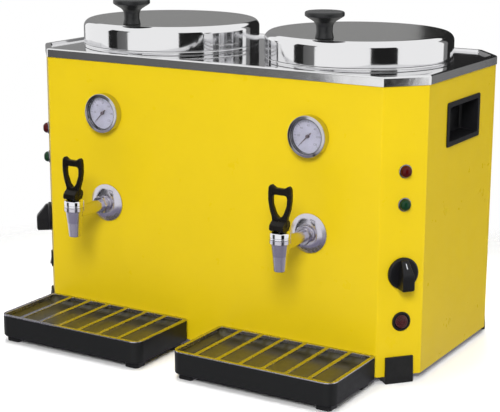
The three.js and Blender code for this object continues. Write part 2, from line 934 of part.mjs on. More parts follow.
// Slot between the handle's cheeks that clears the stem over the whole swing
function stemSlot() {
  const half = stem_radius + seat_gap;
  const reach = 2 * (cam_base + cam_lift);
  const swing = (handle_swing + slot_spare_swing) * degree;
  const along = [-Math.sin(swing), -Math.cos(swing)];
  const across = [-Math.cos(swing), Math.sin(swing)];
  return outline([
    [half, 0],
    [half, -reach],
    [0, -reach],
    [along[0] * reach, along[1] * reach],
    [along[0] * reach + across[0] * half, along[1] * reach + across[1] * half],
    [across[0] * half, across[1] * half],
    [0, half],
  ]);
}

// Front outline of the handle: neck, two limbs that swell upwards, two horns and the bar between
function handleOutline() {
  const neck = handle_neck_width / 2;
  const wide = handle_width / 2;
  const top = handle_height;
  const bar = top - handle_horn;
  const right = new THREE.SplineCurve(points([
    [neck, -cam_base / 2],
    [neck, cam_base],
    ...handle_side_shares.map(([x, y]) => [wide * x, top * y]),
    ...handle_dip_shares.map(([x, y]) => [wide * x, bar + handle_horn * y]),
  ]));
  const half = right.getPoints(4 * arc_steps - 1).map((p) => [p.x, p.y]);
  const mirrored = half.map(([x, y]) => [-x, y]).reverse();
  const shape = outline([...half, ...mirrored]);
  const hole_top = bar - handle_bar;
  const low = hole_top - handle_loop;
  const hole_wide = wide - handle_limb;
  const edge = new THREE.SplineCurve(points([
    [0, low],
    ...loop_side_shares.map(([x, y]) => [hole_wide * x, low + handle_loop * y]),
    [0, hole_top],
  ]));
  const hole_half = edge.getPoints(2 * arc_steps + 1).map((p) => [p.x, p.y]);
  const hole_mirrored = hole_half.slice(1, -1).map(([x, y]) => [-x, y]).reverse();
  shape.holes.push(new THREE.Path(points([...hole_half, ...hole_mirrored])));
  return shape;
}

function tapHandle(name, side) {
  const loop = alongY(softSlab(handleOutline(), -handle_thick / 2, handle_thick / 2, handle_round));
  const half = handle_neck_width / 2;
  const cam = alongX(slab(camOutline(), -half, half));
  const slot_half = stem_radius + seat_gap;
  const slot = alongX(slab(stemSlot(), -slot_half, slot_half));
  const eye_room = alongX(bored(stem_eye_radius, -slot_half, slot_half));
  // The lower edge of the loop's plate is kept inside the cam's height
  const trim = block(2 * half, 2 * cam_base, cam_base, 0, 0, -cam_base - cam_base / 2);
  const pin = alongX(rod(handle_pin_radius, -half + overrun, half - overrun, tiny_facets));
  const body = cut(joined(loop, cam), slot, eye_room, trim).add(toSolid(pin));
  const mesh = onTap(toMesh(name, body, black_plastic), side);
  mesh.position.z += pin_level;
  return mesh;
}

// Indicator lamp: a flanged barrel through the wall and a domed lens seated on the flange
function lampBezel(name, spot) {
  const cavity = clear(lamp_spigot_radius);
  const profile = [
    [0, -lamp_body_depth],
    [lamp_body_radius, -lamp_body_depth],
    [lamp_body_radius, seat_gap],
    [lamp_flange_radius, seat_gap],
    [lamp_flange_radius, lamp_flange_thick * lamp_flange_share],
    [lamp_flange_radius - lamp_flange_thick * (1 - lamp_flange_share), lamp_flange_thick],
    [cavity, lamp_flange_thick],
    [cavity, -lamp_spigot_depth - seat_gap],
    [0, -lamp_spigot_depth - seat_gap],
  ];
  return standOn(toMesh(name, toSolid(turned(profile, small_facets)), chrome), spot);
}

function lampLens(name, spot, material) {
  const low = lamp_flange_thick + seat_gap;
  const dome = [];
  for (let i = 0; i <= arc_steps; i += 1) {
    const angle = (quarter_turn * i) / arc_steps;
    dome.push([lamp_lens_radius * Math.cos(angle), low + lamp_lens_rise * Math.sin(angle)]);
  }
  dome[dome.length - 1][0] = 0;
  const profile = [
    [0, -lamp_spigot_depth],
    [lamp_spigot_radius, -lamp_spigot_depth],
    [lamp_spigot_radius, low],
    ...dome,
  ];
  return standOn(toMesh(name, toSolid(turned(profile, small_facets)), material), spot);
}

// Thermostat behind the corner face: a case, a bush through the wall and the shaft
function thermostatBody(name, spot) {
  const face = -sheet - seat_gap;
  const body = joined(
    block(stat_width, stat_height, stat_depth, 0, 0, face - stat_depth / 2),
    rod(bush_radius, face - overrun, seat_gap),
    rod(shaft_radius, face - overrun, shaft_length, tiny_facets),
  );
  return standOn(toMesh(name, body, grey_metal), spot);
}

// Control knob: a round skirt and a wedge grip that slants down to its pointer end
function thermostatKnob(name, spot) {
  const low = 2 * seat_gap;
  const skirt = turned([
    [0, low],
    [dial_knob_radius, low],
    [dial_knob_radius, low + dial_knob_skirt - dial_knob_slope / 2],
    [dial_knob_radius - dial_knob_slope, low + dial_knob_skirt],
    [0, low + dial_knob_skirt],
  ], plain_facets);
  const reach = dial_knob_radius - dial_knob_slope;
  const back = outline([
    [-dial_knob_radius, low],
    [-dial_knob_radius, grip_height - dial_knob_slope],
    [-reach, grip_height],
    [0, grip_height],
    [reach, grip_nose_height],
    [reach, low],
  ]);
  const plan = outline([
    [-grip_width / 2, -dial_knob_radius],
    [grip_width / 2, -dial_knob_radius],
    [grip_width / 2, 0],
    [grip_nose_width / 2, reach],
    [-grip_nose_width / 2, reach],
    [-grip_width / 2, 0],
  ]);
  // The side outline is drawn as Y and Z and extruded along X
  const side = alongX(slab(back, -dial_knob_radius, dial_knob_radius));
  const grip = toSolid(side)
    .intersect(toSolid(softSlab(plan, 0, grip_height + overrun, seat_gap)))
    .intersect(toSolid(rod(dial_knob_radius, low, grip_height + overrun, plain_facets)));
  const bore = bored(shaft_radius, 0, shaft_length + seat_gap, tiny_facets);
  const body = cut(toSolid(skirt).add(grip), bore);
  return standOn(toMesh(name, body, black_plastic), spot);
}

// Round switch: bezel outside, can through the wall, cavity for the rocker
function switchBody(name, spot) {
  const tilt = rocker_tilt * degree;
  const cavity = clear(rocker_radius * Math.cos(tilt) + rocker_depth * Math.sin(tilt), plain_facets);
  const floor = -rocker_depth - rocker_radius * Math.sin(tilt) - rocker_room;
  const profile = [
    [0, -switch_can_depth],
    [switch_can_radius, -switch_can_depth],
    [switch_can_radius, seat_gap],
    [switch_bezel_radius, seat_gap],
    [switch_bezel_radius, switch_bezel_thick / 2],
    [switch_bezel_radius - switch_bezel_thick / 2, switch_bezel_thick],
    [cavity, switch_bezel_thick],
    [cavity, floor],
    [0, floor],
  ];
  return standOn(toMesh(name, toSolid(turned(profile, plain_facets)), black_plastic), spot);
}

// Rocker: a round button whose face is folded along its axis, resting with one side pressed
function switchRocker(name, spot) {
  const fold = rocker_radius * Math.tan(rocker_tilt * degree);
  const section = outline([
    [-rocker_radius, -rocker_depth],
    [rocker_radius, -rocker_depth],
    [rocker_radius, rocker_rise],
    [0, rocker_rise - fold],
    [-rocker_radius, rocker_rise],
  ]);
  const bar = alongX(slab(section, -rocker_radius, rocker_radius));
  const round = rod(rocker_radius, -rocker_depth - overrun, rocker_rise + overrun);
  const body = toSolid(bar).intersect(toSolid(round));
  const data = toMesh(name, body, red_lens);
  data.geometry.rotateX(-rocker_tilt * degree);
  return standOn(data, spot);
}

// Hand grip: a rounded frame outside the wall and a square-cornered pocket behind it
function sideGrip(name, side) {
  const pocket_width = grip_frame_width - 2 * grip_frame_border;
  const pocket_height = grip_frame_height - 2 * grip_frame_border;
  const frame = slab(
    roundedRectangle(grip_frame_width, grip_frame_height, grip_frame_round),
    seat_gap, seat_gap + grip_frame_thick,
  );
  const outer = block(
    pocket_width, pocket_height, grip_pocket_depth + grip_frame_thick,
    0, 0, (grip_frame_thick - grip_pocket_depth) / 2,
  );
  const inner = block(
    pocket_width - 2 * grip_wall, pocket_height - 2 * grip_wall, grip_pocket_depth,
    0, 0, grip_wall - grip_pocket_depth / 2,
  );
  return standOn(toMesh(name, cut(joined(frame, outer), inner), black_plastic), sideSpot(side));
}

function onTraySpot(mesh, side) {
  mesh.position.set(side * tray_x, -tray_back_gap - tray_depth / 2, 0);
  return mesh;
}

// Outline of a tray moved inwards by an inset, with rounder corners in front than at the back
function trayOutline(inset) {
  const width = tray_width - 2 * inset;
  const depth = tray_depth - 2 * inset;
  return roundedRectangle(width, depth, tray_round - inset, tray_back_round - inset);
}

// Drip tray: a shallow basin with a skirt below it, on four corner feet
function dripTray(name, side) {
  const top = tray_height - grille_sheet - seat_gap;
  const floor = tray_height - tray_basin;
  const inner = trayOutline(tray_wall);
  const shell = cut(
    toSolid(slab(trayOutline(0), tray_foot_height, top)),
    slab(inner, floor, top + overrun),
    slab(inner, tray_foot_height - overrun, floor - tray_wall),
  );
  const foot_height = floor - tray_wall / 2;
  const feet = [];
  for (const x of [-1, 1]) {
    for (const y of [-1, 1]) {
      const reach = tray_foot_inset + tray_foot_size / 2;
      feet.push(block(
        tray_foot_size, tray_foot_size, foot_height,
        x * (tray_width / 2 - reach), y * (tray_depth / 2 - reach), foot_height / 2,
      ));
    }
  }
  return onTraySpot(toMesh(name, shell.add(joined(...feet)), black_plastic), side);
}

// Grille: a slotted steel plate on the tray's rim, with four lips turned down inside the tray's wall
function dripGrille(name, side) {
  const lip_inset = tray_wall + seat_gap + grille_sheet / 2;
  const lip_middle = tray_height - grille_lip / 2;
  const lips = [];
  for (const end of [-1, 1]) {
    lips.push(
      block(
        tray_width - 2 * tray_round, grille_sheet, grille_lip,
        0, end * (tray_depth / 2 - lip_inset), lip_middle,
      ),
      block(
        grille_sheet, tray_depth - 2 * tray_round, grille_lip,
        end * (tray_width / 2 - lip_inset), 0, lip_middle,
      ),
    );
  }
  const span = tray_width - 2 * grille_border;
  const slot = (span - (grille_slots - 1) * grille_bar) / grille_slots;
  const slots = [];
  for (let i = 0; i < grille_slots; i += 1) {
    const x = -span / 2 + slot / 2 + i * (slot + grille_bar);
    slots.push(block(slot, tray_depth - 2 * grille_border, tray_height, x, 0, tray_height));
  }
  const plate = slab(trayOutline(0), tray_height - grille_sheet, tray_height);
  const body = cut(joined(plate, ...lips), ...slots);
  return onTraySpot(toMesh(name, body, polished_steel), side);
}

// Cast heating plate clamped under the well, its lower face sunk inside a rim
function heater(name, side) {
  const top = well_floor - sheet - seat_gap;
  const low = top - heater_thick;
  const profile = [
    [0, low + heater_groove],
    [heater_radius - heater_rim - heater_groove, low + heater_groove],
    [heater_radius - heater_rim, low],
    [heater_radius, low],
    [heater_radius, top],
    [0, top],
  ];
  const mesh = toMesh(name, toSolid(turned(profile, plain_facets)), grey_metal);
  mesh.position.set(side * well_x, well_setback, 0);
  return mesh;
}

function sideSet(word, side) {
  const red = cornerSpot(side, red_lamp_height);
  const green = cornerSpot(side, green_lamp_height);
  const stat = cornerSpot(side, thermostat_height);
  const power = cornerSpot(side, switch_height);
  return [
    well(`well_${word}`, side),
    heater(`heater_${word}`, side),
    lid(`lid_${word}`, side),
    lidKnob(`lid_knob_${word}`, side),
    lidHinge(`lid_hinge_${word}`, side),
    gaugeCase(`gauge_case_${word}`, side),
    gaugeGlass(`gauge_glass_${word}`, side),
    gaugeNeedle(`gauge_needle_${word}`, side),
    tapBody(`tap_body_${word}`, side),
    tapRosette(`tap_rosette_${word}`, side),
    tapNut(`tap_nut_${word}`, side),
    tapBonnet(`tap_bonnet_${word}`, side),
    tapStem(`tap_stem_${word}`, side),
    tapHandle(`tap_handle_${word}`, side),
    lampBezel(`red_lamp_bezel_${word}`, red),
    lampLens(`red_lamp_lens_${word}`, red, red_lens),
    lampBezel(`green_lamp_bezel_${word}`, green),
    lampLens(`green_lamp_lens_${word}`, green, green_lens),
    thermostatBody(`thermostat_body_${word}`, stat),
    thermostatKnob(`thermostat_knob_${word}`, stat),
    switchBody(`switch_body_${word}`, power),
    switchRocker(`switch_rocker_${word}`, power),
    sideGrip(`side_grip_${word}`, side),
    cornerFoot(`foot_front_${word}`, side, "front"),
    cornerFoot(`foot_rear_${word}`, side, "rear"),
    dripTray(`drip_tray_${word}`, side),
    dripGrille(`drip_grille_${word}`, side),
  ];
}

const dispenser = new THREE.Group();
dispenser.add(casingWrap(), backPanel(), cableGland(), basePlate(), topTray());
dispenser.add(...sideSet("left", -1), ...sideSet("right", 1));

// The origin is the middle of the footprint, from the front of the drip trays to the cable gland
const foremost = -tray_back_gap - tray_depth;
const rearmost = casing_depth + gland_dome;
dispenser.position.y = -(foremost + rearmost) / 2;

export default dispenser;
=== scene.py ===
"""Twin-well milk dispenser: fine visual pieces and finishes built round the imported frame.

Shapes are drawn in millimetres in a frame of their own and are then placed in the row frame, in metres.
Places are given from the foot of the front panel: X to the right, Y to the back, Z up from the table.
"""

import json
import logging
import math
from dataclasses import dataclass
from enum import Enum
from typing import Callable, Sequence

import bmesh
import bpy
from mathutils import Matrix, Vector

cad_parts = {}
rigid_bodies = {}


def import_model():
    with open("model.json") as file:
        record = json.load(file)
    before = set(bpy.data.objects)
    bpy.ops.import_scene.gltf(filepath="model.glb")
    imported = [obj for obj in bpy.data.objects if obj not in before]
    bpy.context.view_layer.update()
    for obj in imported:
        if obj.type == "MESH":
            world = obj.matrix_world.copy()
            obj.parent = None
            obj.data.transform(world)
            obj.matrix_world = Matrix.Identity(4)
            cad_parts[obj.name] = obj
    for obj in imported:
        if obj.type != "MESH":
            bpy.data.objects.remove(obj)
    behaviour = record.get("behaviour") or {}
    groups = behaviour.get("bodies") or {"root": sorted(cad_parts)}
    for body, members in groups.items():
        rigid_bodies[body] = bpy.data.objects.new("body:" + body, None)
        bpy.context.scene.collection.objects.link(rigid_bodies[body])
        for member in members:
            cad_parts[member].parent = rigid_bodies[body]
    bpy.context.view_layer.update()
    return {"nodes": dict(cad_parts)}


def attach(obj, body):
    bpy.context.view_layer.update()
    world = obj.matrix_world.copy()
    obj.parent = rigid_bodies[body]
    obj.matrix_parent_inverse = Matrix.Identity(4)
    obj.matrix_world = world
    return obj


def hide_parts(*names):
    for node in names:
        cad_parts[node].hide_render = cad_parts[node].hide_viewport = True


LOG = logging.getLogger("dispenser")
MM = 0.001
FRONT_Y = -97.2
SPOT_ATTRIBUTE = "piece_spot"
CABINET = "cabinet"
CREASE_DEGREES = 32.0
# An edge whose faces turn by more than this, in radians, is sharp
SHARP_ANGLE = 0.6
# Points this near to the axis, in millimetres, lie on it, and points this near to each other become one
AXIS_REACH = 1e-5
WELD_REACH = 1e-4
# How far inside a level the search for the edges at that level starts, in millimetres
SLACK = 0.1

Corner = tuple[float, float, float]
Pair = tuple[float, float]
Colour = tuple[float, float, float, float]
Socket = bpy.types.NodeSocket
Outputs = bpy.types.NodeOutputs
Value = Socket | float | int | bool | str | tuple
Inputs = dict[str | int, Value]
EdgeTest = Callable[[bmesh.types.BMEdge], bool]

WHITE: Colour = (1.0, 1.0, 1.0, 1.0)


class Hand(Enum):
    """The two sides of the dispenser, with the sign of their X."""

    LEFT = -1
    RIGHT = 1

    @property
    def word(self) -> str:
        """The word that ends the names of this side's nodes and bodies."""
        return self.name.lower()


def turn_about(axis: str, degrees: float) -> Matrix:
    """A rotation about one of the axes."""
    return Matrix.Rotation(math.radians(degrees), 4, axis)


def shift(x: float = 0.0, y: float = 0.0, z: float = 0.0) -> Matrix:
    """A move along the axes."""
    return Matrix.Translation((x, y, z))


# A slab's outline stands upright and faces the front; a rod points to the front
UPRIGHT = turn_about("X", 90)
# A rod points to the back
TO_BACK = turn_about("X", -90)
# A slab's outline lies in the plane of Y and Z, and its depth runs along X
ALONG_X = turn_about("Z", 90) @ turn_about("X", 90)


@dataclass(frozen=True)
class Spot:
    """A place for a piece, in millimetres. On a wall, the piece's Z points out of the wall and its Y up."""

    x: float
    y: float
    z: float
    turn: float = 0.0
    on_wall: bool = False

    def place(self) -> Matrix:
        """The matrix that takes a shape to its place, all in millimetres from the foot of the front panel."""
        lean = UPRIGHT if self.on_wall else Matrix.Identity(4)
        return shift(self.x, self.y, self.z) @ Matrix.Rotation(self.turn, 4, "Z") @ lean

    def matrix(self) -> Matrix:
        """The matrix that takes a shape in millimetres to the row frame in metres."""
        return Matrix.Scale(MM, 4) @ shift(y=FRONT_Y) @ self.place()


def add_object(name: str, data: bpy.types.ID) -> bpy.types.Object:
    """Puts new data into the scene.

    Args:
        name: the object's name.
        data: its mesh, curve, light or camera.

    Returns:
        The new object.
    """
    item = bpy.data.objects.new(name, data)
    bpy.context.scene.collection.objects.link(item)
    return item


# Node graphs


class Graph:
    """Adds nodes to one shader tree and feeds their sockets."""

    def __init__(self, tree: bpy.types.NodeTree) -> None:
        """Starts from an empty tree."""
        self.tree = tree
        tree.nodes.clear()

    def add(self, kind: str, inputs: Inputs | None = None, **settings: Value) -> bpy.types.Node:
        """Adds a node.

        Args:
            kind: Blender's name for the node type.
            inputs: values or sockets for its inputs, by name or index.
            settings: properties of the node itself.

        Returns:
            The new node.
        """
        node = self.tree.nodes.new(kind)
        for key, value in settings.items():
            setattr(node, key, value)
        for key, value in (inputs or {}).items():
            self.feed(node.inputs[key], value)
        return node

    def feed(self, socket: Socket, value: Value) -> None:
        """Links a socket to an input, or sets the input's own value.

        Args:
            socket: the input.
            value: an output socket, or a plain value.
        """
        if isinstance(value, Socket):
            self.tree.links.new(value, socket)
        else:
            socket.default_value = value

    def math(self, operation: str, first: Value, second: Value = 0.0) -> Socket:
        """Adds a math node and returns its result."""
        return self.add("ShaderNodeMath", {0: first, 1: second}, operation=operation).outputs[0]

    def vector(self, operation: str, first: Value, second: Value = (0.0, 0.0, 0.0)) -> Socket:
        """Adds a vector math node and returns its vector."""
        return self.add("ShaderNodeVectorMath", {0: first, 1: second}, operation=operation).outputs["Vector"]

    def length(self, vector: Value) -> Socket:
        """Measures a vector and returns its length."""
        return self.add("ShaderNodeVectorMath", {0: vector}, operation="LENGTH").outputs["Value"]

    def parts(self, vector: Value) -> Outputs:
        """Splits a vector and returns its outputs X, Y and Z."""
        return self.add("ShaderNodeSeparateXYZ", {"Vector": vector}).outputs

    def remap(self, value: Value, source: Pair, target: tuple[Value, Value] = (0.0, 1.0)) -> Socket:
        """Maps a range of values to another one, clamped.

        Args:
            value: the value to map.
            source: its range.
            target: the range of the result.

        Returns:
            The result.
        """
        (low, high), (first, last) = source, target
        inputs = {"Value": value, "From Min": low, "From Max": high, "To Min": first, "To Max": last}
        return self.add("ShaderNodeMapRange", inputs, clamp=True).outputs["Result"]

    def mix(self, share: Value, first: Value, second: Value) -> Socket:
        """Mixes two colours and returns the result."""
        return self.add("ShaderNodeMix", {0: share, 6: first, 7: second}, data_type="RGBA").outputs[2]

    def noise(self, inputs: Inputs, **settings: Value) -> Socket:
        """Adds a noise texture and returns its value."""
        return self.add("ShaderNodeTexNoise", inputs, **settings).outputs["Fac"]


def new_material(name: str) -> tuple[bpy.types.Material, Graph]:
    """Starts a material.

    Args:
        name: its name.

    Returns:
        The material and its empty graph.
    """
    material = bpy.data.materials.new(name)
    material.use_nodes = True
    return material, Graph(material.node_tree)


class Effects:
    """The node groups that several finishes share. Each puts out plain values."""

    def __init__(self) -> None:
        """Builds the groups."""
        self.smudges = self._smudges()
        self.relief = self._relief()
        self.rings = self._rings()

    @staticmethod
    def _start(name: str, numbers: Sequence[str], outputs: Sequence[str]) -> tuple[Graph, Outputs]:
        """Opens a group that takes a vector and some numbers.

        Args:
            name: the group's name.
            numbers: names of its number inputs.
            outputs: names of its outputs, all numbers.

        Returns:
            The group's graph and what is given to it.
        """
        tree = bpy.data.node_groups.new(name, "ShaderNodeTree")
        tree.interface.new_socket(name="Vector", in_out="INPUT", socket_type="NodeSocketVector")
        for way, labels in (("INPUT", numbers), ("OUTPUT", outputs)):
            for label in labels:
                tree.interface.new_socket(name=label, in_out=way, socket_type="NodeSocketFloat")
        graph = Graph(tree)
        return graph, graph.add("NodeGroupInput").outputs

    def _smudges(self) -> bpy.types.NodeTree:
        """Broad soft patches, as from handling and wiping.

        Returns:
            The node group.
        """
        graph, given = self._start("Smudges", ["Scale", "Low", "High"], ["Amount"])
        inputs = {"Vector": given["Vector"], "Scale": given["Scale"], "Detail": 5.0, "Roughness": 0.6}
        amount = graph.remap(graph.noise(inputs), (0.3, 0.7), (given["Low"], given["High"]))
        graph.add("NodeGroupOutput", {"Amount": amount})
        return graph.tree

    def _relief(self) -> bpy.types.NodeTree:
        """Fine relief for bump: a small cell pattern over a softer one.

        Returns:
            The node group.
        """
        graph, given = self._start("Fine relief", ["Scale", "Coarse Share"], ["Height"])
        fine = graph.noise({"Vector": given["Vector"], "Scale": given["Scale"], "Detail": 2.0})
        wide = graph.math("MULTIPLY", given["Scale"], 0.2)
        coarse = graph.noise({"Vector": given["Vector"], "Scale": wide, "Detail": 1.0})
        part = graph.math("MULTIPLY", coarse, given["Coarse Share"])
        graph.add("NodeGroupOutput", {"Height": graph.math("ADD", fine, part)})
        return graph.tree

    def _rings(self) -> bpy.types.NodeTree:
        """Fine rings round a piece's own axis, as left by turning or brushing.

        Returns:
            The node group.
        """
        graph, given = self._start("Turned rings", ["Scale"], ["Value", "Radius"])
        radius = graph.length(graph.vector("MULTIPLY", given["Vector"], (1.0, 1.0, 0.0)))
        rings = graph.noise({"W": radius, "Scale": given["Scale"], "Detail": 3.0}, noise_dimensions="1D")
        graph.add("NodeGroupOutput", {"Value": rings, "Radius": radius})
        return graph.tree


@dataclass(frozen=True)
class Grain:
    """A fine grain: its fineness, the share of a softer pattern in it, and its bump's strength and depth.

    The depth is in metres.
    """

    scale: float
    coarse_share: float
    strength: float
    depth: float


class Draft:
    """A material under way: its graph, and the place on the piece in metres for the shared effects."""

    def __init__(self, name: str, effects: Effects) -> None:
        """Starts the material.

        Args:
            name: its name.
            effects: the shared effects.
        """
        self.material, self.graph = new_material(name)
        self.effects = effects
        self.place = self.graph.add("ShaderNodeAttribute", attribute_name=SPOT_ATTRIBUTE).outputs["Vector"]

    def smudge(self, scale: float, span: Pair = (0.0, 1.0)) -> Socket:
        """A value that drifts in broad soft patches.

        Args:
            scale: how close the patches lie.
            span: the two ends between which it drifts.

        Returns:
            The value.
        """
        inputs = {"Vector": self.place, "Scale": scale, "Low": span[0], "High": span[1]}
        return self.graph.add("ShaderNodeGroup", inputs, node_tree=self.effects.smudges).outputs["Amount"]

    def blend(self, scale: float, colour: Corner, shares: Pair) -> Socket:
        """Drifts between two shades of a colour in broad soft patches.

        Args:
            scale: how close the patches lie.
            colour: the colour.
            shares: the share of it in either shade.

        Returns:
            The colour for the surface shader.
        """
        first, second = (shaded(colour, share) for share in shares)
        return self.graph.mix(self.smudge(scale), first, second)

    def rings(self, scale: float) -> Outputs:
        """Rings round the piece's axis: their outputs are Value and Radius."""
        inputs = {"Vector": self.place, "Scale": scale}
        return self.graph.add("ShaderNodeGroup", inputs, node_tree=self.effects.rings).outputs

    def grained(self, grain: Grain) -> Socket:
        """Gives the surface a fine grain.

        Args:
            grain: how it is.

        Returns:
            The normal for the surface shader.
        """
        inputs = {"Vector": self.place, "Scale": grain.scale, "Coarse Share": grain.coarse_share}
        relief = self.graph.add("ShaderNodeGroup", inputs, node_tree=self.effects.relief)
        return self.bump(relief.outputs["Height"], grain.strength, grain.depth)

    def bump(self, height: Value, strength: float, depth: float) -> Socket:
        """Turns a height into a normal and returns it."""
        inputs = {"Height": height, "Strength": strength, "Distance": depth}
        return self.graph.add("ShaderNodeBump", inputs).outputs["Normal"]

    def close(self, inputs: Inputs) -> bpy.types.Material:
        """Adds the surface shader and the output.

        Args:
            inputs: the surface shader's inputs.

        Returns:
            The finished material.
        """
        surface = self.graph.add("ShaderNodeBsdfPrincipled", inputs)
        self.graph.add("ShaderNodeOutputMaterial", {"Surface": surface.outputs["BSDF"]})
        return self.material


# Finishes


def shaded(colour: Corner, share: float = 1.0) -> Colour:
    """A share of a colour, fully opaque."""
    return (*(share * part for part in colour), 1.0)


@dataclass(frozen=True)
class Finish:
    """A finish with its name. Each kind of finish fills in the nodes of its own material."""

    name: str

    def build(self, effects: Effects) -> bpy.types.Material:
        """Builds the material.

        Args:
            effects: the shared effects.

        Returns:
            The finished material.
        """
        raise NotImplementedError(self.name)


@dataclass(frozen=True)
class Paint(Finish):
    """Stoved paint on sheet steel: a slight orange peel under a clear sheen."""

    colour: Corner
    roughness: Pair = (0.26, 0.38)
    deep_share: float = 0.96
    patch_scale: float = 9.0
    wipe_scale: float = 38.0
    peel: Grain = Grain(620.0, 1.4, 0.12, 0.0002)

    def build(self, effects: Effects) -> bpy.types.Material:
        """Builds the material.

        Args:
            effects: the shared effects.

        Returns:
            The finished material.
        """
        draft = Draft(self.name, effects)
        return draft.close({
            "Base Color": draft.blend(self.patch_scale, self.colour, (self.deep_share, 1.0)),
            "Roughness": draft.smudge(self.wipe_scale, self.roughness),
            "Normal": draft.grained(self.peel),
            "Coat Weight": 0.06,
            "Coat Roughness": 0.12,
            "Specular IOR Level": 0.22,
        })


@dataclass(frozen=True)
class Steel(Finish):
    """Bare or plated metal, with wiping marks and a little waviness."""

    colour: Corner
    roughness: Pair
    dull_share: float = 0.93
    patch_scale: float = 24.0
    wipe_scale: float = 70.0

    def build(self, effects: Effects) -> bpy.types.Material:
        """Builds the material.

        Args:
            effects: the shared effects.

        Returns:
            The finished material.
        """
        draft = Draft(self.name, effects)
        waves = Grain(900.0, 2.0, 0.03 + 0.5 * self.roughness[1], 0.00006)
        return draft.close({
            "Base Color": draft.blend(self.patch_scale, self.colour, (self.dull_share, 1.0)),
            "Metallic": 1.0,
            "Roughness": draft.smudge(self.wipe_scale, self.roughness),
            "Normal": draft.grained(waves),
        })


@dataclass(frozen=True)
class TurnedSteel(Finish):
    """Lid steel: a satin top with fine rings, and a polished shoulder and skirt."""

    satin_edge: Pair = (0.106, 0.111)
    ring_scale: float = 1600.0
    wipe_scale: float = 60.0
    satin_roughness: Pair = (0.10, 0.17)
    polished_roughness: Pair = (0.05, 0.10)
    satin: Colour = (0.76, 0.76, 0.74, 1.0)
    polished: Colour = (0.80, 0.80, 0.81, 1.0)

    def build(self, effects: Effects) -> bpy.types.Material:
        """Builds the material.

        Args:
            effects: the shared effects.

        Returns:
            The finished material.
        """
        draft = Draft(self.name, effects)
        graph, rings = draft.graph, draft.rings(self.ring_scale)
        polish = graph.remap(rings["Radius"], self.satin_edge)
        brushed = graph.remap(rings["Value"], (0.35, 0.65), self.satin_roughness)
        wiped = draft.smudge(self.wipe_scale, self.polished_roughness)
        depth = graph.math("MULTIPLY", rings["Value"], graph.math("SUBTRACT", 1.0, polish))
        return draft.close({
            "Base Color": graph.mix(polish, self.satin, self.polished),
            "Metallic": 1.0,
            "Roughness": graph.remap(polish, (0.0, 1.0), (brushed, wiped)),
            "Normal": draft.bump(depth, 0.2, 0.00005),
        })


@dataclass(frozen=True)
class Moulded(Finish):
    """Moulded plastic, rubber or print: an even colour with a fine mould grain and handling marks."""

    colour: Corner
    roughness: Pair
    sheen: float = 0.5
    worn_share: float = 1.25
    patch_scale: float = 60.0
    wipe_scale: float = 140.0
    grain: Grain = Grain(2200.0, 0.6, 0.18, 0.00008)

    def build(self, effects: Effects) -> bpy.types.Material:
        """Builds the material.

        Args:
            effects: the shared effects.

        Returns:
            The finished material.
        """
        draft = Draft(self.name, effects)
        return draft.close({
            "Base Color": draft.blend(self.patch_scale, self.colour, (1.0, self.worn_share)),
            "Roughness": draft.smudge(self.wipe_scale, self.roughness),
            "Normal": draft.grained(self.grain),
            "Specular IOR Level": self.sheen,
        })


@dataclass(frozen=True)
class Lens(Finish):
    """Coloured clear plastic over a dark lamp: deep colour under a hard gloss."""

    colour: Corner
    gloss: float
    roughness: Pair = (0.08, 0.16)
    dark_share: float = 0.55
    ring_scale: float = 900.0
    wipe_scale: float = 160.0

    def build(self, effects: Effects) -> bpy.types.Material:
        """Builds the material.

        Args:
            effects: the shared effects.

        Returns:
            The finished material.
        """
        draft = Draft(self.name, effects)
        share = draft.graph.remap(draft.rings(self.ring_scale)["Value"], (0.3, 0.7))
        return draft.close({
            "Base Color": draft.graph.mix(share, shaded(self.colour, self.dark_share), shaded(self.colour)),
            "Roughness": draft.smudge(self.wipe_scale, self.roughness),
            "Specular IOR Level": self.gloss,
            "Coat Weight": self.gloss,
            "Coat Roughness": 0.04,
        })


@dataclass(frozen=True)
class DialRing(Finish):
    """A chromed ring round a sunk dial; its inner wall is painted dark as painted shade in the recess."""

    inner_radius: float = 0.0209
    blend: float = 0.0006
    ring_scale: float = 900.0
    wipe_scale: float = 90.0
    roughness: Pair = (0.08, 0.16)
    # Painted shade: the dark inner wall of the bezel stands in for the shade in the recess.
    inside: Colour = (0.07, 0.068, 0.07, 1.0)
    outside: Colour = (0.58, 0.57, 0.60, 1.0)

    def build(self, effects: Effects) -> bpy.types.Material:
        """Builds the material.

        Args:
            effects: the shared effects.

        Returns:
            The finished material.
        """
        draft = Draft(self.name, effects)
        edge = (self.inner_radius, self.inner_radius + self.blend)
        share = draft.graph.remap(draft.rings(self.ring_scale)["Radius"], edge)
        return draft.close({
            # Chrome outside the inner radius, painted shade on the wall inside it.
            "Base Color": draft.graph.mix(share, self.inside, self.outside),
            "Metallic": 1.0,
            "Roughness": draft.smudge(self.wipe_scale, self.roughness),
        })


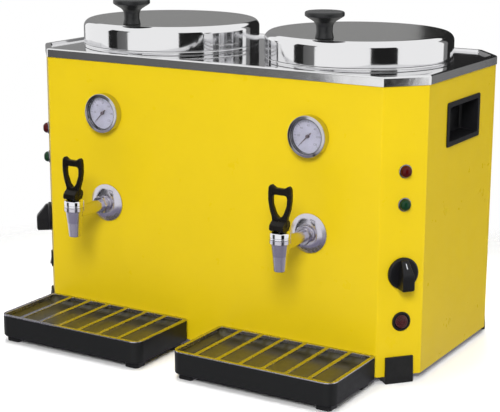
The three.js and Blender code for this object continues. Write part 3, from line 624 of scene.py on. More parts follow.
@dataclass(frozen=True)
class BasinPlastic(Finish):
    """Black moulded plastic, dull outside; inside the basin, a painted reflection of the yellow casing under
    a glossier coat.

    The inside is what lies within a distance of a rectangle round the basin's middle, above its floor.
    """

    middle: Corner = (0.097, 0.043, 1.0)
    room: float = 0.0107
    floor: float = 0.0225
    blend: Pair = (0.0006, 0.001)
    film: float = 0.55
    roughness: Pair = (0.30, 0.42)
    wipe_scale: float = 140.0
    grain: Grain = Grain(2200.0, 0.6, 0.08, 0.00008)
    dry_colour: Colour = (0.013, 0.0135, 0.014, 1.0)
    # Painted reflection: the brown-olive tone inside the basin stands in for the yellow casing's light seen
    # through the slots.
    wet_colour: Colour = (0.055, 0.048, 0.024, 1.0)

    def build(self, effects: Effects) -> bpy.types.Material:
        """Builds the material.

        Args:
            effects: the shared effects.

        Returns:
            The finished material.
        """
        draft = Draft(self.name, effects)
        graph = draft.graph
        past = graph.vector("SUBTRACT", graph.vector("ABSOLUTE", draft.place), self.middle)
        reach = graph.length(graph.vector("MAXIMUM", past))
        within = graph.remap(reach, (self.room, self.room + self.blend[0]), (1.0, 0.0))
        height = graph.remap(graph.parts(draft.place)["Z"], (self.floor, self.floor + self.blend[1]))
        # The share of the basin's inside, where the painted reflection and the glossier coat take over.
        reflection_share = graph.math("MULTIPLY", within, height)
        return draft.close({
            "Base Color": graph.mix(reflection_share, self.dry_colour, self.wet_colour),
            "Roughness": draft.smudge(self.wipe_scale, self.roughness),
            "Normal": draft.grained(self.grain),
            "Specular IOR Level": 0.18,
            "Coat Weight": graph.remap(reflection_share, (0.0, 1.0), (0.0, self.film)),
            "Coat Roughness": 0.2,
        })


@dataclass(frozen=True)
class Glass(Finish):
    """Clear flat glass with faint wiping marks."""

    wipe_scale: float = 90.0
    roughness: Pair = (0.01, 0.05)

    def build(self, effects: Effects) -> bpy.types.Material:
        """Builds the material.

        Args:
            effects: the shared effects.

        Returns:
            The finished material.
        """
        draft = Draft(self.name, effects)
        return draft.close({
            "Base Color": (0.97, 0.99, 1.0, 1.0),
            "Metallic": 0.0,
            "Roughness": draft.smudge(self.wipe_scale, self.roughness),
            "Transmission Weight": 1.0,
            "IOR": 1.45,
        })


FINISHES = (
    Paint("yellow_paint", (0.86, 0.62, 0.008)),
    Steel("polished_steel", (0.80, 0.80, 0.81), (0.05, 0.11)),
    TurnedSteel("lid_steel"),
    Steel("tray_steel", (0.54, 0.53, 0.59), (0.20, 0.32)),
    Steel("chrome_plate", (0.84, 0.84, 0.88), (0.04, 0.09)),
    Steel("satin_chrome", (0.66, 0.64, 0.71), (0.15, 0.24)),
    Steel("grey_metal", (0.42, 0.42, 0.43), (0.42, 0.58)),
    Steel("ring_steel", (0.32, 0.31, 0.35), (0.12, 0.22)),
    Moulded("black_plastic", (0.013, 0.0135, 0.014), (0.30, 0.42), 0.4),
    BasinPlastic("basin_black"),
    DialRing("dial_ring"),
    Moulded("knob_black", (0.007, 0.007, 0.008), (0.30, 0.42), 0.25),
    Moulded("lever_black", (0.005, 0.004, 0.003), (0.22, 0.34), 0.2),
    Moulded("black_rubber", (0.010, 0.010, 0.010), (0.55, 0.75), 0.35),
    Moulded("dial_white", (0.56, 0.53, 0.64), (0.40, 0.50), 0.3),
    Moulded("ink_grey", (0.20, 0.18, 0.24), (0.4, 0.5), 0.3),
    Moulded("pointer_brown", (0.16, 0.11, 0.14), (0.4, 0.5), 0.3),
    # Painted highlight: a pale line on the ridge of the thermostat knob's nose.
    Moulded("mark_white", (0.48, 0.50, 0.55), (0.4, 0.5)),
    Lens("red_lens", (0.085, 0.003, 0.003), 0.15),
    Lens("green_lens", (0.006, 0.046, 0.016), 0.15),
    Lens("rocker_maroon", (0.075, 0.014, 0.016), 0.6),
    Glass("clear_glass"),
)


class Palette:
    """Every finish of the dispenser, each built once as a procedural material."""

    def __init__(self, finishes: Sequence[Finish]) -> None:
        """Builds the shared effects and the finishes."""
        effects = Effects()
        self._materials = {finish.name: finish.build(effects) for finish in finishes}

    def __getitem__(self, name: str) -> bpy.types.Material:
        """The material of a finish, by the finish's name."""
        return self._materials[name]


# Shapes


class Shape:
    """A mesh that is drawn in millimetres round its own origin, with Z as its axis or its depth."""

    def __init__(self) -> None:
        """Starts empty."""
        self.bm = bmesh.new()

    def bevel(
        self, geom: Sequence[bmesh.types.BMEdge | bmesh.types.BMVert], width: float, segments: int,
        affect: str = "EDGES",
    ) -> None:
        """Rounds edges or corners.

        Args:
            geom: the edges or vertices.
            width: distance from the old edge to the new ones.
            segments: edges in the rounding.
            affect: EDGES or VERTICES.
        """
        bmesh.ops.bevel(
            self.bm, geom=geom, offset=width, offset_type="OFFSET", segments=segments,
            profile=0.5, affect=affect, material=-1, clamp_overlap=False,
        )

    def outline(self, corners: Sequence[Corner], segments: int = 6) -> bmesh.types.BMFace:
        """Draws a flat face whose corners are rounded.

        Args:
            corners: X, Y and radius of each corner, in order.
            segments: edges in each rounded corner.

        Returns:
            The face.
        """
        old = set(self.bm.faces)
        spots = [self.bm.verts.new((x, y, 0.0)) for x, y, _ in corners]
        self.bm.faces.new(spots)
        for i, spot in enumerate(spots):
            radius = corners[i][2]
            if radius <= 0:
                continue
            here, before, after = (Vector(corners[j % len(corners)][:2]) for j in (i, i - 1, i + 1))
            opening = (before - here).angle(after - here)
            self.bevel([spot], radius / math.tan(opening / 2), segments, "VERTICES")
        return next(face for face in self.bm.faces if face not in old)

    def drawn(self, face: bmesh.types.BMFace, low: float, high: float) -> "Shape":
        """Raises a flat face into a solid between two levels.

        Args:
            face: the face, at level 0.
            low: level of the solid's foot.
            high: level of its top.

        Returns:
            This shape.
        """
        bmesh.ops.translate(self.bm, verts=face.verts, vec=(0, 0, low))
        raised = bmesh.ops.extrude_face_region(self.bm, geom=[face], use_keep_orig=True)
        verts = [item for item in raised["geom"] if isinstance(item, bmesh.types.BMVert)]
        bmesh.ops.translate(self.bm, verts=verts, vec=(0, 0, high - low))
        return self.faced()

    def slab(self, corners: Sequence[Corner], low: float, high: float, segments: int = 6) -> "Shape":
        """Adds a solid with a rounded outline.

        Args:
            corners: X, Y and radius of each corner, in order.
            low: level of its foot.
            high: level of its top.
            segments: edges in each rounded corner.

        Returns:
            This shape.
        """
        part = Shape()
        part.drawn(part.outline(corners, segments), low, high)
        return self.take(part)

    def turned(self, profile: Sequence[Corner], steps: int = 64, segments: int = 5) -> "Shape":
        """Adds a solid of revolution about Z.

        Args:
            profile: radius, level and rounding of each corner of its section, in order.
            steps: steps of the full turn.
            segments: edges in each rounded corner.

        Returns:
            This shape.
        """
        part = Shape()
        face = part.outline(profile, segments)
        bmesh.ops.rotate(part.bm, verts=face.verts, cent=(0, 0, 0), matrix=UPRIGHT.to_3x3())
        bmesh.ops.delete(part.bm, geom=[face], context="FACES_ONLY")
        middle = [edge for edge in part.bm.edges if all(abs(vert.co.x) < AXIS_REACH for vert in edge.verts)]
        bmesh.ops.delete(part.bm, geom=middle, context="EDGES")
        bmesh.ops.spin(
            part.bm, geom=part.bm.verts[:] + part.bm.edges[:], cent=(0, 0, 0), axis=(0, 0, 1),
            angle=2 * math.pi, steps=steps, use_merge=True, use_duplicate=False,
        )
        bmesh.ops.remove_doubles(part.bm, verts=part.bm.verts, dist=WELD_REACH)
        return self.take(part.faced())

    def rod(self, radius: float, low: float, high: float, soft: float = 0.0, steps: int = 48) -> "Shape":
        """Adds a round bar along Z with softened rims."""
        return self.turned([(0, low, 0), (radius, low, soft), (radius, high, soft), (0, high, 0)], steps, 3)

    def take(self, other: "Shape", matrix: Matrix | None = None) -> "Shape":
        """Adds another shape as it is.

        Args:
            other: the shape that is added; it is used up.
            matrix: moves it first, if given.

        Returns:
            This shape.
        """
        mesh = other.spent("taken")
        if matrix is not None:
            mesh.transform(matrix)
        self.bm.from_mesh(mesh)
        bpy.data.meshes.remove(mesh)
        return self

    def spent(self, name: str) -> bpy.types.Mesh:
        """Turns this shape into a new mesh; it is used up.

        Args:
            name: the mesh's name.

        Returns:
            The mesh.
        """
        mesh = bpy.data.meshes.new(name)
        self.bm.to_mesh(mesh)
        self.bm.free()
        return mesh

    def moved(self, matrix: Matrix) -> "Shape":
        """Moves the whole shape."""
        bmesh.ops.transform(self.bm, matrix=matrix, verts=self.bm.verts)
        return self

    def faced(self) -> "Shape":
        """Turns every face outwards."""
        bmesh.ops.recalc_face_normals(self.bm, faces=self.bm.faces)
        return self

    def soften(self, width: float, chosen: EdgeTest, segments: int = 3) -> "Shape":
        """Rounds the sharp edges that are chosen.

        Args:
            width: distance from the old edge to the new ones.
            chosen: says of an edge whether it is rounded.
            segments: edges in the rounding.

        Returns:
            This shape.
        """
        edges = (edge for edge in self.bm.edges if edge.is_manifold and edge.calc_face_angle() > SHARP_ANGLE)
        self.bevel([edge for edge in edges if chosen(edge)], width, segments)
        return self

    def combine(self, other: "Shape", operation: str = "DIFFERENCE") -> "Shape":
        """Cuts another closed shape out of this one, or joins the two into one skin.

        Args:
            other: the shape that is taken away or added; it is used up.
            operation: DIFFERENCE, UNION or INTERSECT.

        Returns:
            This shape.
        """
        target = add_object("target", self.spent("target"))
        tool = add_object("tool", other.spent("tool"))
        change = target.modifiers.new("change", "BOOLEAN")
        change.operation, change.solver, change.object = operation, "EXACT", tool
        self.bm = bmesh.new()
        self.read(target)
        for item in (target, tool):
            mesh = item.data
            bpy.data.objects.remove(item)
            bpy.data.meshes.remove(mesh)
        return self

    def read(self, item: bpy.types.Object) -> None:
        """Adds what an object shows, with its modifiers applied.

        Args:
            item: the object.
        """
        depsgraph = bpy.context.evaluated_depsgraph_get()
        mesh = bpy.data.meshes.new_from_object(item.evaluated_get(depsgraph))
        self.bm.from_mesh(mesh)
        bpy.data.meshes.remove(mesh)


def above(level: float) -> EdgeTest:
    """Chooses the edges that lie above a level."""
    return lambda edge: all(vert.co.z > level for vert in edge.verts)


def below(level: float) -> EdgeTest:
    """Chooses the edges that lie below a level."""
    return lambda edge: all(vert.co.z < level for vert in edge.verts)


def beyond(level: float) -> EdgeTest:
    """Chooses the edges that lie farther from level 0 than a distance, above or below it."""
    return lambda edge: all(abs(vert.co.z) > level for vert in edge.verts)


def rounded(width: float, height: float, radius: float, upper: float | None = None) -> list[Corner]:
    """Corners of a rectangle round the origin.

    Args:
        width: its size along X.
        height: its size along Y.
        radius: rounding of the lower corners, and of the upper ones if they have none of their own.
        upper: rounding of the upper corners.

    Returns:
        Four corners for an outline.
    """
    x, y = width / 2, height / 2
    top = radius if upper is None else upper
    return [(-x, -y, radius), (x, -y, radius), (x, y, top), (-x, y, top)]


def mirrored(corners: Sequence[Corner]) -> list[Corner]:
    """The same corners on the other side of the Y axis, in reverse order."""
    return [(-x, y, radius) for x, y, radius in reversed(corners)]


def screw_head(radius: float = 3.0, rise: float = 1.6) -> Shape:
    """A pan head with a cross recess, standing on its seat.

    Args:
        radius: the head's radius.
        rise: its height.

    Returns:
        The head.
    """
    head = Shape().turned([(0, -1, 0), (radius, -1, 0), (radius, rise, 0.9 * rise), (0, rise, 0)], 28, 4)
    for degrees in (0, 90):
        bar = Shape().slab(rounded(1.25 * radius, 0.26 * radius, 0.05), 0.35 * rise, rise + 1.0, 1)
        head.combine(bar.moved(turn_about("Z", degrees)))
    return head


def note_spots(mesh: bpy.types.Mesh, scale: float = 1.0) -> None:
    """Stores where each vertex lies in the piece's own frame, in metres, for the finishes to read.

    Args:
        mesh: the piece's mesh, still in its own frame.
        scale: metres in one unit of the mesh.
    """
    attribute = mesh.attributes.new(SPOT_ATTRIBUTE, "FLOAT_VECTOR", "POINT")
    for i, vert in enumerate(mesh.vertices):
        attribute.data[i].vector = vert.co * scale


# Layout and assemblies


@dataclass(frozen=True)
class Layout:
    """The casing's outline and the places on it that the assemblies share, in millimetres."""

    half_width: float = 281.0
    depth: float = 295.0
    cut: Pair = (38.2, 44.2)
    low: float = 8.5
    high: float = 358.5
    well_x: float = 141.0
    well_y: float = 140.0
    well_radius: float = 110.0
    collar_radius: float = 118.3
    deck: float = 367.2
    tap_x: float = 150.0
    tap_z: float = 174.5
    dial_z: float = 293.5
    control_along: float = 31.0
    red_z: float = 258.9
    green_z: float = 219.3
    knob_z: float = 136.4
    switch_z: float = 76.5
    grip_z: float = 302.8
    gland_x: float = 190.0
    gland_z: float = 48.5
    vent_z: float = 258.5

    @property
    def middle_z(self) -> float:
        """The level of the casing's middle."""
        return (self.low + self.high) / 2

    def corners(self, inset: float) -> list[Pair]:
        """The eight corners of the casing's outline, from the front left, anticlockwise.

        Args:
            inset: how far they are moved inwards.

        Returns:
            X and Y of each corner.
        """
        across, along = self.cut
        slant = inset * math.hypot(across, along)
        front = self.half_width - across + (across * inset - slant) / along
        side = (along * (across - inset) + slant) / across
        half, rear = self.half_width - inset, self.depth - inset
        return [
            (-front, inset), (front, inset), (half, side), (half, self.depth - side),
            (front, rear), (-front, rear), (-half, self.depth - side), (-half, side),
        ]

    def front(self, hand: Hand, z: float, y: float = 0.0) -> Spot:
        """A spot on the front panel, on the line of the taps and dials."""
        return Spot(hand.value * self.tap_x, y, z, 0.0, True)

    def corner(self, hand: Hand, z: float) -> Spot:
        """A spot on the line of the controls, on a front corner face.

        Args:
            hand: the side.
            z: the level.

        Returns:
            The spot.
        """
        across, along = self.cut
        share = self.control_along / math.hypot(across, along)
        x = hand.value * (self.half_width - across * (1 - share))
        return Spot(x, along * share, z, hand.value * math.atan2(along, across), True)

    def side(self, hand: Hand) -> Spot:
        """The spot of a hand grip, in the middle of a side wall."""
        return Spot(hand.value * self.half_width, self.depth / 2, self.grip_z, hand.value * math.pi / 2, True)

    def back(self, x: float, y: float, z: float) -> Spot:
        """A spot that faces the back, some way off the front panel."""
        return Spot(x, y, z, math.pi, True)

    def foot(self, hand: Hand, front: bool) -> Spot:
        """A spot at the foot of a corner face.

        Args:
            hand: the side.
            front: whether it is a front corner.

        Returns:
            The spot.
        """
        across, along = self.cut
        lean = math.atan2(along, across)
        y = along / 2 if front else self.depth - along / 2
        turn = lean if front else math.pi - lean
        return Spot(hand.value * (self.half_width - across / 2), y, 0.0, hand.value * turn, True)

    def over_well(self, hand: Hand) -> Spot:
        """The axis of a well."""
        return Spot(hand.value * self.well_x, self.well_y, 0.0)


@dataclass(frozen=True)
class Assembly:
    """Pieces that are built together. The names of a handed assembly end in the word of its side."""

    layout: Layout
    palette: Palette
    hand: Hand | None = None

    def add(
        self, name: str, shape: Shape, spot: Spot, finish: str,
        slot: str | None = None, node: str | None = None, body: str = CABINET,
    ) -> None:
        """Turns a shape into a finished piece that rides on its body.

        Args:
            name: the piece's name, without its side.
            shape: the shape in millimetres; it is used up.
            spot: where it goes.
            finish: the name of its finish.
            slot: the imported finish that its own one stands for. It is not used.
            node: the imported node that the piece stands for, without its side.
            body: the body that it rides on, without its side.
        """
        end = f"_{self.hand.word}" if self.hand else ""
        mesh = shape.spent(name + end)
        note_spots(mesh, MM)
        mesh.transform(spot.matrix())
        mesh.materials.append(self.palette[finish])
        mesh.shade_smooth()
        mesh.set_sharp_from_angle(angle=math.radians(CREASE_DEGREES))
        item = add_object(name + end, mesh)
        even = item.modifiers.new("even", "WEIGHTED_NORMAL")
        even.keep_sharp, even.weight = True, 100
        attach(item, body if body == CABINET else body + end)
        if node:
            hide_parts(node + end)
        LOG.info("piece %s: %d faces", item.name, len(mesh.polygons))


# Cabinet


@dataclass(frozen=True)
class Cabinet(Assembly):
    """Bent and painted casing with its rear panel, cable gland, rubber feet and hand grips."""

    sheet: float = 1.2
    bend: float = 3.0
    flange: float = 14.0
    dial_hole: float = 22.4
    tap_hole: float = 7.9
    lamp_hole: float = 6.4
    shaft_hole: float = 5.1
    switch_hole: float = 10.2
    grip_hole: Pair = (92.6, 46.6)
    gland_hole: float = 9.4
    panel_size: Pair = (477.6, 342.0)
    screw_reach: Pair = (229.0, 162.0)
    vent_size: Pair = (56.0, 4.0)
    vent_pitch: float = 12.0
    vent_count: int = 6
    through: float = 4.0

    def build(self) -> None:
        """Makes every piece of the cabinet."""
        layout = self.layout
        self.add("casing", self.wrap(), Spot(0, 0, 0), "yellow_paint", "yellow_paint", "casing_wrap")
        rear = layout.back(0, layout.depth + 0.3, layout.middle_z)
        self.add("rear_panel", self.panel(), rear, "yellow_paint", "yellow_paint", "back_panel")
        self.add("rear_screws", self.screws(), rear, "grey_metal", "grey_metal")
        gland = layout.back(layout.gland_x, layout.depth, layout.gland_z)
        self.add("gland", self.gland(), gland, "black_plastic", "black_plastic", "cable_gland")
        for hand in Hand:
            for end in ("front", "rear"):
                place = f"{end}_{hand.word}"
                spot = layout.foot(hand, end == "front")
                name, rubber = f"rubber_foot_{place}", "black_rubber"
                self.add(name, self.foot(), spot, rubber, rubber, f"foot_{place}")
            name, node = f"hand_grip_{hand.word}", f"side_grip_{hand.word}"
            self.add(name, self.grip(), layout.side(hand), "knob_black", "black_plastic", node)

    def wrap(self) -> Shape:
        """The casing's sheet with its bends and the holes for what is set in it.

        Returns:
            The sheet, in the layout's frame.
        """
        layout = self.layout
        outer, inner = layout.corners(0.0), layout.corners(self.sheet)
        edge = outer[4][0] - self.flange
        order = (5, 6, 7, 0, 1, 2, 3, 4)
        path = [(-edge, layout.depth, 0.0)]
        path += [(*outer[i], self.bend) for i in order]
        path += [(edge, layout.depth, 0.0), (edge, layout.depth - self.sheet, 0.0)]
        path += [(*inner[i], self.bend - self.sheet) for i in reversed(order)]
        path += [(-edge, layout.depth - self.sheet, 0.0)]
        shape = Shape().slab(path, layout.low, layout.high, 5)
        holes = Shape()
        for hand in Hand:
            for radius, spot in (
                (self.dial_hole, layout.front(hand, layout.dial_z)),
                (self.tap_hole, layout.front(hand, layout.tap_z)),
                (self.lamp_hole, layout.corner(hand, layout.red_z)),
                (self.lamp_hole, layout.corner(hand, layout.green_z)),
                (self.shaft_hole, layout.corner(hand, layout.knob_z)),
                (self.switch_hole, layout.corner(hand, layout.switch_z)),
            ):
                holes.take(Shape().rod(radius, -self.through, self.through, steps=40), spot.place())
            mouth = Shape().slab(rounded(*self.grip_hole, 1.0), -self.through, self.through)
            holes.take(mouth, layout.side(hand).place())
        return shape.combine(holes)

    def panel(self) -> Shape:
        """The rear panel with its two groups of vents and the gland's hole.

        Returns:
            The panel, with Z pointing out of its outer face.
        """
        layout = self.layout
        shape = Shape().slab(rounded(*self.panel_size, 4), 0, self.sheet)
        gland = shift(-layout.gland_x, layout.gland_z - layout.middle_z)
        back = -self.through / 2
        holes = Shape().take(Shape().rod(self.gland_hole, back, self.through, steps=32), gland)
        for side in (-1, 1):
            for i in range(self.vent_count):
                level = layout.vent_z - layout.middle_z + self.vent_pitch * (i - (self.vent_count - 1) / 2)
                vent = Shape().slab(rounded(*self.vent_size, 1.9), back, self.through)
                holes.take(vent, shift(side * layout.well_x, level))
        return shape.combine(holes)

    def screws(self) -> Shape:
        """The screws round the rear panel's edge.

        Returns:
            The screws, in the panel's frame.
        """
        shape = Shape()
        x, y = self.screw_reach
        for across, up in ((-1, -1), (0, -1), (1, -1), (-1, 0), (1, 0), (-1, 1), (0, 1), (1, 1)):
            shape.take(screw_head(), shift(x * across, y * up, self.sheet))
        return shape

    def gland(self) -> Shape:
        """The cable gland: a flange, a ribbed collar and a domed nut with its bore.

        Returns:
            The gland, with Z pointing out of the wall.
        """
        ribs = [(9.2, 5.4, 0.1), (9.2, 6.6, 0.2), (8.6, 6.9, 0.1), (8.6, 7.4, 0.1), (9.0, 7.7, 0.2)]
        profile = [
            (4.5, -10, 0.3), (9, -10, 0.5), (9, 1.8, 0), (12.5, 1.8, 0.3), (12.5, 4.8, 0.9),
            (9.8, 4.8, 0.2), *ribs, (7.6, 12, 1.8), (4.5, 12, 0.4),
        ]
        return Shape().turned(profile, 48)

    def foot(self) -> Shape:
        """A moulded foot that wraps the foot of a corner face.

        Returns:
            The foot, with Y up and Z pointing out of the wall.
        """
        section = [
            (-28, 0, 1.5), (5, 0, 1.6), (5, 8.5, 6), (3, 33, 1.4), (0.3, 33, 0), (0.3, 8.2, 0), (-28, 8.2, 1),
        ]
        half = 18.0
        shape = Shape().slab(section, -half, half, 4)
        return shape.soften(0.9, beyond(half - SLACK)).moved(turn_about("Y", -90))

    def grip(self) -> Shape:
        """A hand grip: a flat frame outside the wall and a pocket that narrows inwards.

        Returns:
            The grip, with Y up and Z pointing out of the wall.
        """
        width, height, front, floor = 88.0, 42.0, 1.9, -22.0
        near_floor, on_front = floor + 1, above(front - SLACK)
        shape = Shape().slab(rounded(100, 54, 3), 0.3, front).soften(0.7, on_front)
        shape.combine(Shape().slab(rounded(width + 4, height + 4, 1.5), floor - 2, 1.2), "UNION")
        hollow = Shape().slab(rounded(width, height, 2), floor, 4)
        deep = [vert for vert in hollow.bm.verts if vert.co.z < near_floor]
        bmesh.ops.scale(hollow.bm, vec=(0.96, 0.92, 1), verts=deep)
        shape.combine(hollow.soften(3.0, below(near_floor)))
        x, y = width / 2 + 0.5, height / 2 + 0.5

        def mouth(edge: bmesh.types.BMEdge) -> bool:
            """Chooses the edges round the pocket's mouth."""
            return on_front(edge) and all(abs(vert.co.x) < x and abs(vert.co.y) < y for vert in edge.verts)

        return shape.soften(0.6, mouth)


# Top tray, wells and lids


@dataclass(frozen=True)
class TopTray(Assembly):
    """Polished tray on the casing: a hemmed band, a lip that falls to the deck, and the wells' openings."""

    proud: float = 1.2
    foot: float = 358.8
    crest: float = 369.9
    hem: float = 2.5
    hem_steps: int = 4
    lip: float = 6.0
    slope: float = 1.5
    drop: float = 3.0
    corner_edge: float = 14.0
    corner_soft: float = 2.4
    well_gap: float = 0.4
    cut: Pair = (350.0, 380.0)

    def build(self) -> None:
        """Makes the tray."""
        self.add("tray_top", self.shape(), Spot(0, 0, 0), "polished_steel", "polished_steel", "top_tray")

    def shape(self) -> Shape:
        """The tray, stepped inwards from its outer edge.

        Returns:
            The tray, in the layout's frame.
        """
        shape = Shape()
        face = shape.outline([(x, y, 0.0) for x, y in self.layout.corners(-self.proud)])
        shape.drawn(face, self.foot, self.crest - self.hem)
        top = max(shape.bm.faces, key=lambda item: item.calc_center_median().z)
        steps = [*self.hem_path(), (self.lip + self.proud - self.hem, 0.0), (self.slope, -self.drop)]
        for inset, rise in steps:
            bmesh.ops.inset_region(shape.bm, faces=[top], thickness=inset, depth=0.0, use_even_offset=True)
            bmesh.ops.translate(shape.bm, verts=top.verts, vec=(0, 0, rise))
        short = (edge for edge in shape.bm.edges if edge.calc_length() < self.corner_edge)
        at_corners = [edge for edge in short if min(vert.co.z for vert in edge.verts) >= self.foot - SLACK]
        shape.bevel(at_corners, self.corner_soft, 4)
        for hand in Hand:
            hole = Shape().rod(self.layout.well_radius + self.well_gap, *self.cut, steps=96)
            shape.combine(hole.moved(self.layout.over_well(hand).place()))
        return shape

    def hem_path(self) -> list[Pair]:
        """The steps over the hem: how far each goes inwards and how far up.

        Returns:
            A pair for each step, from the hem's foot to its crest.
        """
        turns = [math.pi / 2 * i / self.hem_steps for i in range(self.hem_steps + 1)]
        return [
            (self.hem * (math.cos(before) - math.cos(after)), self.hem * (math.sin(after) - math.sin(before)))
            for before, after in zip(turns, turns[1:])
        ]


@dataclass(frozen=True)
class Well(Assembly):
    """A polished round well with its flat collar, and the outlet tube to its tap."""

    base: float = 165.6
    wall: float = 1.2
    rim: float = 371.8
    foot_round: float = 14.0
    mouth: Pair = (111.0, 380.0)
    outlet_radius: float = 10.5
    outlet_bore: float = 7.8
    outlet_start: float = 90.0
    outlet_end: float = 126.6
    overrun: float = 3.4

    def build(self) -> None:
        """Makes the well."""
        axis = self.layout.over_well(self.hand)
        self.add("milk_well", self.shape(), axis, "polished_steel", "polished_steel", "well")

    def shape(self) -> Shape:
        """The turned shell with the outlet at the foot of its front.

        Returns:
            The well, round its own axis.
        """
        layout, radius, rim = self.layout, self.layout.well_radius, self.rim
        inside, collar, (mouth, top) = radius - self.wall, layout.collar_radius, self.mouth
        shape = Shape().turned([
            (0, self.base, 0), (radius, self.base, self.foot_round), (radius, layout.deck, 0.6),
            (collar, layout.deck, 0.5), (collar, rim, 1.4), (0, rim, 0),
        ], 112, 7)
        outlet = shift(self.hand.value * (layout.tap_x - layout.well_x), 0, layout.tap_z) @ UPRIGHT
        tube = Shape().rod(self.outlet_radius, self.outlet_start, self.outlet_end, 0.5)
        shape.combine(tube.moved(outlet), "UNION")
        floor = self.base + self.wall
        shape.combine(Shape().turned([
            (0, floor, 0), (inside, floor, self.foot_round - self.wall), (inside, rim - 1.6, 4),
            (mouth, rim + 0.6, 0), (mouth, top, 0), (0, top, 0),
        ], 112, 7))
        bore = Shape().rod(self.outlet_bore, self.outlet_start, self.outlet_end + self.overrun)
        return shape.combine(bore.moved(outlet))


@dataclass(frozen=True)
class Lid(Assembly):
    """A round lid with its leaf and knuckle, its knob, and the hinge bracket behind it."""

    low: float = 372.1
    high: float = 402.9
    sheet: float = 1.2
    hem: float = 1.9
    knob_y: float = 48.0
    pin: Pair = (126.3, 374.9)
    pin_radius: float = 2.0
    knuckle_half: float = 13.0
    plate: float = 1.5

    def build(self) -> None:
        """Makes the lid, the knob and the bracket."""
        axis = self.layout.over_well(self.hand)
        self.add("round_lid", self.cover(), axis, "lid_steel", "lid_steel", "lid", "lid")
        seat = Spot(axis.x, self.knob_y, self.high + 0.3)
        self.add("pull_knob", self.knob(), seat, "black_plastic", "black_plastic", "lid_knob", "lid")
        bracket = Spot(axis.x, axis.y + self.pin[0], 0)
        self.add("hinge_bracket", self.bracket(), bracket, "polished_steel", "polished_steel", "lid_hinge")
        self.add("hinge_screws", self.screws(), bracket, "grey_metal", "grey_metal")

    def cover(self) -> Shape:
        """The spun cover with a rounded shoulder, a hemmed skirt, and the rolled leaf.

        Returns:
            The cover, round the well's axis.
        """
        low, high, radius = self.low, self.high, self.layout.collar_radius
        skirt, inside, top = radius - self.hem, radius - self.sheet, high - self.sheet
        shape = Shape().turned([
            (0, high, 0), (radius, high, 9.6), (radius, low, 0.7), (skirt, low, 0.7), (skirt, low + 3, 0.6),
            (inside, low + 3.6, 0.5), (inside, top, 8.4), (0, top, 0),
        ], 128, 8)
        y, z = self.pin
        start, half = radius - 1.0, self.plate / 2
        leaf = [(start, z - half, 0), (y, z - half, 0), (y, z + half, 0), (start, z + half, 0)]
        length, eye = self.knuckle_half, shift(y, z)
        roll = Shape().slab(leaf, -length, length)
        roll.combine(Shape().rod(2 * self.pin_radius, -length, length, 0.4, 40).moved(eye), "UNION")
        roll.combine(Shape().rod(self.pin_radius + 0.3, -length - 1, length + 1, 0, 32).moved(eye))
        return shape.combine(roll.moved(ALONG_X), "UNION")

    def knob(self) -> Shape:
        """The flared pull knob.

        Returns:
            The knob, standing on its foot.
        """
        return Shape().turned([
            (0, 0, 0), (11.5, 0, 0.5), (9.8, 7, 7), (10.2, 18, 9), (23.8, 26.4, 2.0), (24, 32, 2.6),
            (0, 31.4, 0),
        ], 72, 7)

    def bracket(self) -> Shape:
        """The bracket: a plate with rounded corners, two ears and a pin with domed ends.

        Returns:
            The bracket, with its pin above the origin.
        """
        base, z = self.layout.deck, self.pin[1]
        top, seat = base + self.plate, base + 0.7
        shape = Shape().slab(rounded(48, 14, 2.5), base, top).soften(0.35, above(top - SLACK), 2)
        ear = [(-7, seat, 0), (7, seat, 0), (4, z, 0), (4, z + 4, 3.9), (-4, z + 4, 3.9), (-4, z, 0)]
        near = self.knuckle_half + 0.3
        for side in (near, -near - 2):
            shape.combine(Shape().slab(ear, side, side + 2).moved(ALONG_X), "UNION")
        reach = near + 4
        pin = Shape().rod(self.pin_radius, -reach, reach, 0.8, 32).moved(shift(y=z))
        return shape.combine(pin.moved(ALONG_X), "UNION")

    def screws(self) -> Shape:
        """The two screws that hold the bracket's plate.

        Returns:
            The screws, in the bracket's frame.
        """
        shape = Shape()
        for side in (-1, 1):
            shape.take(screw_head(2.7, 1.3), shift(19.6 * side, 0, self.layout.deck + self.plate))
        return shape


# Thermometers


